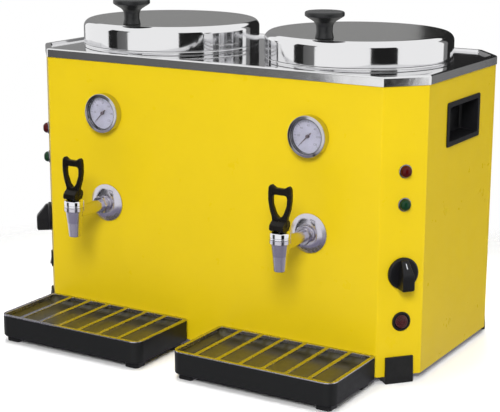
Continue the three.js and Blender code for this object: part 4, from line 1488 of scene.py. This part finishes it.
@dataclass(frozen=True)
class Thermometer(Assembly):
    """A dial thermometer: bezel, printed dial, pointer and flat glass."""

    first: float = 225.0
    sweep: float = 270.0
    highest: int = 120
    tick_every: int = 5
    number_every: int = 20
    number_reach: float = 12.9
    number_height: float = 3.7
    dial: float = 5.1

    def build(self) -> None:
        """Makes the pieces."""
        spot = self.layout.front(self.hand, self.layout.dial_z)
        self.add("dial_case", self.case(), spot, "dial_ring", "chrome_plate", "gauge_case")
        self.add("dial_face", Shape().rod(20.35, self.dial - 0.2, self.dial, 0.0, 64), spot, "dial_white")
        self.add("dial_print", self.scale(), spot, "ink_grey")
        needle = "gauge_needle"
        self.add("pointer", self.pointer(), spot, "pointer_brown", "black_plastic", needle, needle)
        glass = Shape().rod(20.15, 9.35, 10.8, 0.25, 64)
        self.add("dial_glass", glass, spot, "clear_glass", "clear_glass", "gauge_glass")

    def case(self) -> Shape:
        """The can and the rounded bezel round the sunk dial.

        Returns:
            The case, with Z pointing out of the wall.
        """
        return Shape().turned([
            (0, -14, 0), (22, -14, 1), (22, 0.3, 0), (25.3, 0.3, 0.5), (25.3, 11.4, 1.1), (21.4, 12, 0.3),
            (20.5, 10.6, 0.3), (20.5, 5, 0), (0, 5, 0),
        ], 80, 7)

    def scale(self) -> Shape:
        """The scale: a ring of ticks and the numbers.

        Returns:
            The print, lying on the dial's face.
        """
        shape = Shape()
        for value in range(0, self.highest + 1, self.tick_every):
            numbered = value % self.number_every == 0
            angle = self.first - self.sweep * value / self.highest
            size, middle = ((3.2, 0.55), 17.6) if numbered else ((1.8, 0.32), 18.3)
            tick = Shape().slab(rounded(*size, 0.05), self.dial, self.dial + 0.1, 1)
            shape.take(tick, turn_about("Z", angle) @ shift(middle))
            if numbered:
                turn = math.radians(angle)
                x, y = self.number_reach * math.cos(turn), self.number_reach * math.sin(turn)
                shape.take(self.text(str(value)), shift(x, y, self.dial))
        return shape

    def text(self, words: str) -> Shape:
        """Flat raised letters, centred on their place.

        Args:
            words: what they say.

        Returns:
            The letters as a shape.
        """
        curve = bpy.data.curves.new("letters", "FONT")
        curve.body, curve.size, curve.extrude = words, self.number_height, 0.05
        curve.align_x, curve.align_y, curve.resolution_u = "CENTER", "CENTER", 3
        item = add_object("letters", curve)
        shape = Shape()
        shape.read(item)
        bpy.data.objects.remove(item)
        bpy.data.curves.remove(curve)
        return shape

    def pointer(self) -> Shape:
        """The pointer with its tail and hub, at rest on the first mark.

        Returns:
            The pointer, which turns about Z.
        """
        half = [(-6, -0.9, 0.3), (0, -0.7, 0), (15.5, -0.25, 0.1)]
        blade = Shape().slab([*half, *((x, -y, radius) for x, y, radius in reversed(half))], 6.3, 6.9, 2)
        blade.moved(turn_about("Z", self.first))
        return blade.combine(Shape().rod(2.2, 5.35, 8.7, 0.6, 32), "UNION")


# Taps


@dataclass(frozen=True)
class Tap(Assembly):
    """A lever tap: body with spout and arm, wall rosette, bonnet, and a looped handle with its cam."""

    reach: float = 70.0
    pin: float = 25.6
    pin_radius: float = 1.5
    flats: float = 20.0
    hexagon: Pair = (51.4, 57.4)
    cam_base: float = 8.0
    cam_lift: float = 3.5
    cam_half: float = 9.2
    cam_steps: int = 6
    swing: float = 50.0
    spare_swing: float = 2.0
    slot_half: float = 2.7
    plate_half: float = 3.5

    def build(self) -> None:
        """Makes the pieces."""
        wall = self.layout.front(self.hand, self.layout.tap_z, -0.3)
        axis = Spot(wall.x, -self.reach, wall.z)
        self.add("tap_barrel", self.body(), axis, "satin_chrome", "chrome_plate", "tap_body")
        self.add("wall_rosette", self.rosette(), wall, "satin_chrome", "chrome_plate", "tap_rosette")
        self.add("tap_cap", self.bonnet(), axis, "chrome_plate", "chrome_plate", "tap_bonnet")
        pivot, handle = Spot(axis.x, axis.y, axis.z + self.pin), "tap_handle"
        self.add("tap_lever", self.handle(), pivot, "lever_black", "black_plastic", handle, handle)

    def body(self) -> Shape:
        """The barrel and spout with the arm and its hexagon, hollow where milk runs.

        Returns:
            The tap body, with its spout down and its arm to the back.
        """
        shape = Shape().turned([
            (0, -30, 0), (7.2, -30, 0.8), (8.9, -12, 6), (10.9, 2.9, 0.4), (12.5, 3.7, 0.4), (12.5, 8.4, 0.5),
            (0, 8.4, 0),
        ], 64)
        shape.combine(Shape().rod(7.5, 0, 94, 0.4).moved(TO_BACK), "UNION")
        shape.combine(self.nut().moved(TO_BACK), "UNION")
        shape.combine(Shape().turned([
            (0, -32, 0), (4.8, -32, 0), (4.8, -6, 0), (9.3, -6, 0), (9.3, 10, 0), (0, 10, 0),
        ], 48))
        return shape.combine(Shape().rod(4.5, 2, 96).moved(TO_BACK))

    def nut(self) -> Shape:
        """The hexagon on the arm, with its corners chamfered on both faces.

        Returns:
            The hexagon, along Z.
        """
        low, high = self.hexagon
        radius = self.flats / math.sqrt(3)
        turns = [math.radians(60 * i) for i in range(6)]
        ring = [(radius * math.cos(turn), radius * math.sin(turn), 0.6) for turn in turns]
        shape = Shape().slab(ring, low, high, 2)
        return shape.combine(Shape().turned([
            (0, low, 0), (10.6, low, 0), (11.8, low + 1, 0), (11.8, high - 1, 0), (10.6, high, 0),
            (0, high, 0),
        ], 48), "INTERSECT")

    def rosette(self) -> Shape:
        """The domed rosette with its straight neck.

        Returns:
            The rosette, with Z pointing out of the wall.
        """
        return Shape().turned([
            (7.9, 0, 0), (24.5, 0, 0.3), (24.5, 1.6, 0.7), (17, 6.9, 14), (9.6, 7, 0.8), (9.6, 12, 0.7),
            (7.9, 12, 0.3),
        ], 80, 7)

    def bonnet(self) -> Shape:
        """The bonnet nut: a smooth cap with a bead at its foot.

        Returns:
            The bonnet, round the stem's axis.
        """
        return Shape().turned([
            (2.75, 5.7, 0), (9, 5.7, 0.2), (9, 8.7, 0), (12.5, 8.7, 0.4), (12.5, 10.1, 0.4),
            (12.0, 10.5, 0.2), (12.0, 11.0, 0.2), (12.5, 11.4, 0.3), (12.5, 17.3, 2.2), (2.75, 17.3, 0.3),
        ], 64)

    def cam(self) -> Shape:
        """The cam under the handle: it stays on the bonnet while the stem climbs evenly with the swing.

        Returns:
            The cam, with the handle's pin through the origin.
        """
        base, rate = self.cam_base, self.cam_lift / math.radians(self.swing)
        rise = []
        for i in range(self.cam_steps, -1, -1):
            turn = math.radians(self.swing) * i / self.cam_steps
            height = base + rate * turn
            y = -height * math.sin(turn) - rate * math.cos(turn)
            z = -height * math.cos(turn) + rate * math.sin(turn)
            rise.append((y, z, 0.0))
        outline = [(base, 5.5, 4.5), (-5, 5.5, 5), (-10.6, 0.5, 3), *rise, (base, -base, 7.6)]
        shape = Shape().slab(outline, -self.cam_half, self.cam_half)
        return shape.soften(1.3, beyond(self.cam_half - SLACK), 4).moved(ALONG_X)

    def handle(self) -> Shape:
        """The looped handle: two limbs that swell upwards, horns and a bar, on its cam.

        Returns:
            The handle, with its pin through the origin.
        """
        side = [
            (9.8, -3, 2.2), (10.0, 8, 10), (13.2, 17.5, 14), (15.0, 28, 16), (15.2, 36, 12),
            (14.6, 44.2, 3.4), (11.7, 47.0, 2.0), (6.0, 43.2, 6),
        ]
        inner = [(5.0, 12.0, 7), (9.4, 23.5, 12), (9.9, 31.5, 8), (8.9, 35.2, 3)]
        shape = Shape().slab([*side, *mirrored(side)], -self.plate_half, self.plate_half)
        shape.combine(Shape().slab([(0, 7.6, 2.2), *inner, *mirrored(inner)], -6, 6))
        shape.soften(1.6, beyond(self.plate_half - SLACK), 4).moved(UPRIGHT)
        shape.combine(self.cam(), "UNION")
        shape.combine(self.slot())
        across = turn_about("Y", 90)
        shape.combine(Shape().rod(3.7, -self.slot_half, self.slot_half).moved(across))
        return shape.combine(Shape().rod(self.pin_radius, -9, 9).moved(across), "UNION")

    def slot(self) -> Shape:
        """The room between the handle's cheeks in which the stem swings.

        Returns:
            The room, with the handle's pin through the origin.
        """
        half, reach = self.slot_half, 2 * (self.cam_base + self.cam_lift)
        swing = math.radians(self.swing + self.spare_swing)
        y, z = -math.sin(swing) * reach, -math.cos(swing) * reach
        across = (-math.cos(swing) * half, math.sin(swing) * half)
        outline = [
            (half, 0, 0), (half, -reach, 0), (0, -reach, 0), (y, z, 0), (y + across[0], z + across[1], 0),
            (*across, 0), (0, half, 0),
        ]
        return Shape().slab(outline, -half, half).moved(ALONG_X)


# Lamps, thermostats and switches


@dataclass(frozen=True)
class Controls(Assembly):
    """The column on a front corner face: two lamps, the thermostat knob and the rocker switch."""

    tilt: float = 8.0
    rocker_radius: float = 8.1
    knob_radius: float = 19.2
    grip_inset: float = 0.1
    nose: tuple[Pair, Pair] = ((0.5, 20.5), (16.9, 7.4))

    def build(self) -> None:
        """Makes the pieces."""
        layout, hand = self.layout, self.hand
        for tint, z in (("red", layout.red_z), ("green", layout.green_z)):
            spot, lens = layout.corner(hand, z), f"{tint}_lens"
            self.add(f"{tint}_lamp_rim", self.rim(), spot, "ring_steel", "chrome_plate", f"{tint}_lamp_bezel")
            self.add(f"{tint}_lamp_dome", self.dome(), spot, lens, lens, f"{tint}_lamp_lens")
        spot, knob = layout.corner(hand, layout.knob_z), "thermostat_knob"
        self.add("heat_knob", self.knob(), spot, "knob_black", "black_plastic", knob, knob)
        # Painted highlight: a pale line laid on the ridge of the knob's nose.
        self.add("heat_knob_mark", self.mark(), spot, "mark_white", body=knob)
        spot, rocker = layout.corner(hand, layout.switch_z), "switch_rocker"
        self.add("switch_rim", self.switch_rim(), spot, "knob_black", "black_plastic", "switch_body")
        self.add("rocker", self.rocker(), spot, "rocker_maroon", "red_lens", rocker, rocker)

    def rim(self) -> Shape:
        """A lamp's flanged barrel.

        Returns:
            The barrel, with Z pointing out of the wall.
        """
        return Shape().turned([
            (0, -16, 0), (6, -16, 0.6), (6, 0.3, 0), (8.3, 0.3, 0.2), (8.3, 1.1, 0.5), (7.5, 1.7, 0.3),
            (4.7, 1.7, 0), (4.7, -5.3, 0), (0, -5.3, 0),
        ], 48)

    def dome(self) -> Shape:
        """A lamp's domed lens on its spigot."""
        profile = [(0, -5, 0), (4.3, -5, 0), (4.3, 2, 0), (7, 2, 0.2), (7, 8, 5.6), (0, 8, 0)]
        return Shape().turned(profile, 48, 8)

    def knob(self) -> Shape:
        """The control knob: a round skirt and a wedge grip that slants down to its pointer end.

        Returns:
            The knob, which turns about Z, with its pointer end up.
        """
        radius, (high, low), skirt_top = self.knob_radius, self.nose, 5.1
        skirt = Shape().turned([
            (0, 0.6, 0), (radius, 0.6, 0.4), (radius, 3.5, 1.0), (17.2, skirt_top, 0.8), (0, skirt_top, 0),
        ], 72)
        wedge = [(-radius, 1, 0), (-18.8, 20.5, 4.5), (*high, 9), (*low, 2.2), (low[0], 1, 0)]
        grip = Shape().slab(wedge, -12, 12).moved(ALONG_X)
        plan = [
            (-7.5, -22, 0), (7.5, -22, 0), (7.5, -1, 8), (4.4, 17.6, 2.6), (-4.4, 17.6, 2.6), (-7.5, -1, 8),
        ]
        grip.combine(Shape().slab(plan, 0, 24), "INTERSECT")
        grip.combine(Shape().rod(radius - self.grip_inset, 0, 24, 0, 72), "INTERSECT")
        skirt.combine(grip.soften(1.3, above(skirt_top - SLACK)), "UNION")
        return skirt.combine(Shape().rod(3.4, -1, 16.3))

    def mark(self) -> Shape:
        """A pale line down the ridge of the knob's slanting nose: a painted highlight on the ridge.

        Returns:
            The line, in the knob's frame.
        """
        line = Shape().slab(rounded(1.1, 7.0, 0.5), -0.2, 0.12, 3)
        (y, z), (end_y, end_z) = self.nose
        slope = math.degrees(math.atan2(end_z - z, end_y - y))
        return line.moved(shift(0, 10.9, 12.2) @ turn_about("X", slope))

    def switch_rim(self) -> Shape:
        """The switch's bezel and its can behind the wall.

        Returns:
            The bezel and can, with Z pointing out of the wall.
        """
        return Shape().turned([
            (0, -18, 0), (9.8, -18, 0.8), (9.8, 0.3, 0), (11.8, 0.3, 0.2), (11.8, 1.6, 0.8), (10.8, 2.4, 0.6),
            (9.0, 2.4, 0.3), (9.0, -7.3, 0), (0, -7.3, 0),
        ], 56)

    def rocker(self) -> Shape:
        """The round rocker with a folded face, one side pressed.

        Returns:
            The rocker, tilted as it rests.
        """
        radius, top = self.rocker_radius, 3.4
        fold = top - radius * math.tan(math.radians(self.tilt))
        section = [(-radius, -4, 0), (radius, -4, 0), (radius, top, 0), (0, fold, 3), (-radius, top, 0)]
        shape = Shape().slab(section, -9, 9).moved(ALONG_X)
        shape.combine(Shape().rod(radius, -8, 8, 0, 56), "INTERSECT")
        return shape.soften(0.6, above(2.0)).moved(turn_about("X", -self.tilt))


# Drip trays


@dataclass(frozen=True)
class DripTray(Assembly):
    """A loose drip tray: a black basin on four feet, and a slotted steel grille on its rim."""

    x: float = 134.0
    gap: float = 0.6
    width: float = 220.0
    depth: float = 112.0
    top: float = 36.5
    skirt: float = 8.0
    wall: float = 2.5
    hollow: float = 12.0
    cove: float = 9.0
    plate: float = 1.2
    border: float = 5.0
    bar: float = 5.5
    slots: int = 7
    lip_inset: float = 3.4

    def build(self) -> None:
        """Makes the basin and the grille."""
        spot = Spot(self.hand.value * self.x, -self.gap - self.depth / 2, 0)
        tray, grille = "drip_tray", "drip_grille"
        self.add("drip_basin", self.basin(), spot, "basin_black", "black_plastic", tray, tray)
        self.add("slotted_plate", self.grille(), spot, "tray_steel", "tray_steel", grille, grille)

    def plan(self, inset: float) -> list[Corner]:
        """The tray's outline moved inwards: rounder in front than at the back."""
        return rounded(self.width - 2 * inset, self.depth - 2 * inset, 13 - inset, max(6 - inset, 1.0))

    def basin(self) -> Shape:
        """The moulded basin with its skirt and feet.

        Returns:
            The basin, standing on the table.
        """
        rim, floor = self.top - 1.5, self.top - self.hollow
        shape = Shape().slab(self.plan(0), self.skirt, rim)
        shape.soften(1.2, below(self.skirt + SLACK)).soften(0.5, above(rim - SLACK), 2)
        room = rounded(self.width - 2 * self.wall, self.depth - 2 * self.wall, 10.5, 9.6)
        shape.combine(Shape().slab(room, floor, self.top + 4).soften(self.cove, below(floor + SLACK), 6))
        shape.combine(Shape().slab(self.plan(self.wall), 0, floor - self.wall))
        x, y = self.width / 2 - 16, self.depth / 2 - 16
        for side in (-1, 1):
            for end in (-1, 1):
                foot = Shape().slab(rounded(20, 20, 4), 0, floor - 1).soften(0.8, below(SLACK))
                shape.combine(foot.moved(shift(side * x, end * y)), "UNION")
        return shape

    def grille(self) -> Shape:
        """The slotted plate with its lips turned down inside the tray's wall.

        Returns:
            The grille, at its height above the table.
        """
        shape = Shape().slab(self.plan(0), self.top - self.plate, self.top)
        span = self.width - 2 * self.border
        slot = (span - (self.slots - 1) * self.bar) / self.slots
        holes = Shape()
        for i in range(self.slots):
            place = shift(-span / 2 + slot / 2 + i * (slot + self.bar))
            holes.take(Shape().slab(rounded(slot, self.depth - 2 * self.border, 1.6), 20, 50), place)
        shape.combine(holes).soften(0.45, above(self.top - SLACK), 2)
        foot, head = self.top - 4.8, self.top - self.plate / 2
        for end in (-1, 1):
            long = Shape().slab(rounded(self.width - 26, self.plate, 0.2), foot, head, 1)
            shape.combine(long.moved(shift(0, end * (self.depth / 2 - self.lip_inset))), "UNION")
            short = Shape().slab(rounded(self.plate, self.depth - 26, 0.2), foot, head, 1)
            shape.combine(short.moved(shift(end * (self.width / 2 - self.lip_inset))), "UNION")
        return shape


# Pieces that stay as packed


@dataclass(frozen=True)
class FrameNodes:
    """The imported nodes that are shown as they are, all in one finish."""

    nodes: dict[str, bpy.types.Object]
    finish: bpy.types.Material
    kept: tuple[str, ...] = ("base_plate", "heater", "tap_nut", "tap_stem", "thermostat_body")

    def dress(self) -> None:
        """Gives the kept nodes their finish."""
        for name, item in self.nodes.items():
            if name.startswith(self.kept):
                note_spots(item.data)
                for slot in item.material_slots:
                    slot.material = self.finish
                LOG.info("node %s is kept", name)


# Studio and camera


@dataclass(frozen=True)
class Lamp:
    """A soft area lamp that points at the dispenser and that no mirror shows."""

    name: str
    spot: Corner
    size: float
    power: float
    aim: Corner = (0.0, 0.0, 0.2)

    def build(self) -> None:
        """Adds the lamp."""
        data = bpy.data.lights.new(self.name, "AREA")
        data.shape, data.size, data.energy = "DISK", self.size, self.power
        item = add_object(self.name, data)
        item.location = self.spot
        item.rotation_mode = "QUATERNION"
        item.rotation_quaternion = (Vector(self.aim) - Vector(self.spot)).to_track_quat("-Z", "Y")
        item.visible_glossy = False


@dataclass(frozen=True)
class Card:
    """A shaded card that only mirrors see. It stands at a distance and spans a range of azimuths.

    Azimuth 0 lies behind the dispenser and 90 to its right.
    """

    name: str
    span: Pair
    shades: Pair
    heights: Pair = (-2.0, 3.4)
    distance: float = 6.0
    steps: int = 16

    def build(self) -> None:
        """Adds the card, which only glossy rays see."""
        shape = Shape()
        start = math.radians(90.0 - self.span[0])
        x, y = self.distance * math.cos(start), self.distance * math.sin(start)
        foot, head = (shape.bm.verts.new((x, y, z)) for z in self.heights)
        edge = shape.bm.edges.new((foot, head))
        bmesh.ops.spin(
            shape.bm, geom=[foot, head, edge], cent=(0, 0, 0), axis=(0, 0, -1), steps=self.steps,
            angle=math.radians(self.span[1] - self.span[0]), use_merge=False, use_duplicate=False,
        )
        item = add_object(self.name, shape.spent(self.name))
        item.data.materials.append(self._shade())
        item.visible_camera = item.visible_diffuse = item.visible_shadow = False
        item.visible_transmission = item.visible_volume_scatter = False

    def _shade(self) -> bpy.types.Material:
        """The card's tone, which changes from one side to the other.

        Returns:
            The card's material.
        """
        material, graph = new_material(self.name)
        place = graph.parts(graph.add("ShaderNodeNewGeometry").outputs["Position"])
        turn = graph.math("ARCTAN2", place["X"], place["Y"])
        start, end = (math.radians(self._near(side)) for side in self.span)
        tone = graph.remap(turn, (start, end), self.shades)
        light = graph.add("ShaderNodeEmission", {"Color": WHITE, "Strength": tone})
        graph.add("ShaderNodeOutputMaterial", {"Surface": light.outputs["Emission"]})
        return material

    @staticmethod
    def _near(side: float) -> float:
        """The azimuth within half a turn of the back."""
        return (side + 180.0) % 360.0 - 180.0


LAMPS = (
    Lamp("key_lamp", (1.5, -3.2, 2.4), 1.6, 131.0),
    Lamp("top_lamp", (-0.2, 0.2, 3.2), 2.6, 100.0),
    Lamp("side_lamp", (3.4, 2.0, 1.3), 1.8, 22.0),
    Lamp("back_lamp", (-1.6, 3.2, 2.0), 1.8, 70.0),
)

CARDS = (
    Card("card_front_left", (-138.5, -124.0), (0.02, 0.02)),
    Card("card_front_left_grey", (-154.3, -138.5), (0.18, 0.12)),
    Card("card_front_right", (105.8, 138.0), (0.015, 0.015)),
    Card("card_back", (-21.9, 22.5), (0.02, 0.02)),
    Card("card_back_right", (22.5, 33.0), (0.20, 0.20)),
    Card("card_back_left", (-60.0, -21.9), (0.27, 0.27)),
)


@dataclass(frozen=True)
class Studio:
    """Pale floor, soft lamps, a white surround and the dark cards that the polished metal mirrors."""

    floor_radius: float = 3.0
    fade: Pair = (0.38, 0.70)
    seen_tone: float = 1.0
    bounce_tone: float = 0.45
    sky_light: float = 0.2
    dusk: Pair = (-0.44, -0.28)
    ground: Colour = (0.25, 0.235, 0.31, 1.0)

    def build(self) -> None:
        """Adds the floor, the surround, the lamps and the cards."""
        self._floor()
        self._surround()
        for prop in (*LAMPS, *CARDS):
            prop.build()

    def _floor(self) -> None:
        """A pale floor that keeps the shadow and melts into the white surround."""
        disc = Shape().rod(self.floor_radius / MM, -2, 0, steps=96)
        item = add_object("floor", disc.moved(Matrix.Scale(MM, 4)).spent("floor"))
        material, graph = new_material("floor")
        seen = self._seen(graph)
        tone = graph.remap(seen, (0.0, 1.0), (self.bounce_tone, self.seen_tone))
        colour = graph.add("ShaderNodeCombineColor", {"Red": tone, "Green": tone, "Blue": tone})
        surface = graph.add("ShaderNodeBsdfDiffuse", {"Color": colour.outputs["Color"]})
        clear = graph.add("ShaderNodeBsdfTransparent")
        reach = graph.length(graph.add("ShaderNodeTexCoord").outputs["Object"])
        share = graph.math("MULTIPLY", seen, graph.remap(reach, self.fade))
        shaders = {0: share, 1: surface.outputs["BSDF"], 2: clear.outputs["BSDF"]}
        joined = graph.add("ShaderNodeMixShader", shaders)
        graph.add("ShaderNodeOutputMaterial", {"Surface": joined.outputs["Shader"]})
        item.data.materials.append(material)
        item.visible_glossy = False

    @staticmethod
    def _seen(graph: Graph) -> Socket:
        """One for what the camera, mirrors and glass see, and nothing for soft light.

        Args:
            graph: the graph that takes the nodes.

        Returns:
            The socket that gives it.
        """
        path = graph.add("ShaderNodeLightPath").outputs
        seen = graph.math("MAXIMUM", path["Is Camera Ray"], path["Is Glossy Ray"])
        return graph.math("MAXIMUM", seen, path["Is Transmission Ray"])

    def _surround(self) -> None:
        """White for the camera, mirrors and glass, and a plain soft light on everything else."""
        world = bpy.data.worlds.new("surround")
        bpy.context.scene.world = world
        world.use_nodes = True
        graph = Graph(world.node_tree)
        strength = graph.remap(self._seen(graph), (0.0, 1.0), (self.sky_light, 1.0))
        rise = graph.parts(graph.add("ShaderNodeTexCoord").outputs["Generated"])["Z"]
        depth = graph.remap(rise, self.dusk, (1.0, 0.0))
        low = graph.math("MULTIPLY", depth, graph.add("ShaderNodeLightPath").outputs["Is Glossy Ray"])
        colour = graph.mix(low, WHITE, self.ground)
        light = graph.add("ShaderNodeBackground", {"Color": colour, "Strength": strength})
        graph.add("ShaderNodeOutputWorld", {"Surface": light.outputs["Background"]})


@dataclass(frozen=True)
class Viewpoint:
    """The camera, set as the picture was taken."""

    spot: Corner = (0.92568, -1.52597, 0.60152)
    yaw: float = 31.0011
    pitch: float = 13.632
    roll: float = 0.2074
    lens: float = 100.7456
    sensor: float = 36.0
    clip: Pair = (0.05, 100.0)

    def build(self) -> None:
        """Adds the camera and sets how the picture is shown."""
        data = bpy.data.cameras.new("view")
        data.lens, data.sensor_width = self.lens, self.sensor
        data.clip_start, data.clip_end = self.clip
        camera = add_object("view", data)
        turn = turn_about("Z", self.yaw) @ turn_about("X", 90 - self.pitch) @ turn_about("Z", self.roll)
        camera.matrix_world = Matrix.Translation(self.spot) @ turn
        scene = bpy.context.scene
        scene.camera = camera
        scene.view_settings.view_transform = "Standard"


def clear_scene() -> None:
    """Removes what Blender starts with."""
    for item in list(bpy.data.objects):
        bpy.data.objects.remove(item)


def main() -> None:
    """Loads the frame and builds every piece, the studio and the camera."""
    logging.basicConfig(level=logging.INFO, format="%(name)s: %(message)s")
    clear_scene()
    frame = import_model()
    palette, layout = Palette(FINISHES), Layout()
    FrameNodes(frame["nodes"], palette["grey_metal"]).dress()
    Cabinet(layout, palette).build()
    TopTray(layout, palette).build()
    for hand in Hand:
        for kind in (Well, Lid, Thermometer, Tap, Controls, DripTray):
            kind(layout, palette, hand).build()
    Studio().build()
    Viewpoint().build()


if __name__ == "__main__":
    main()
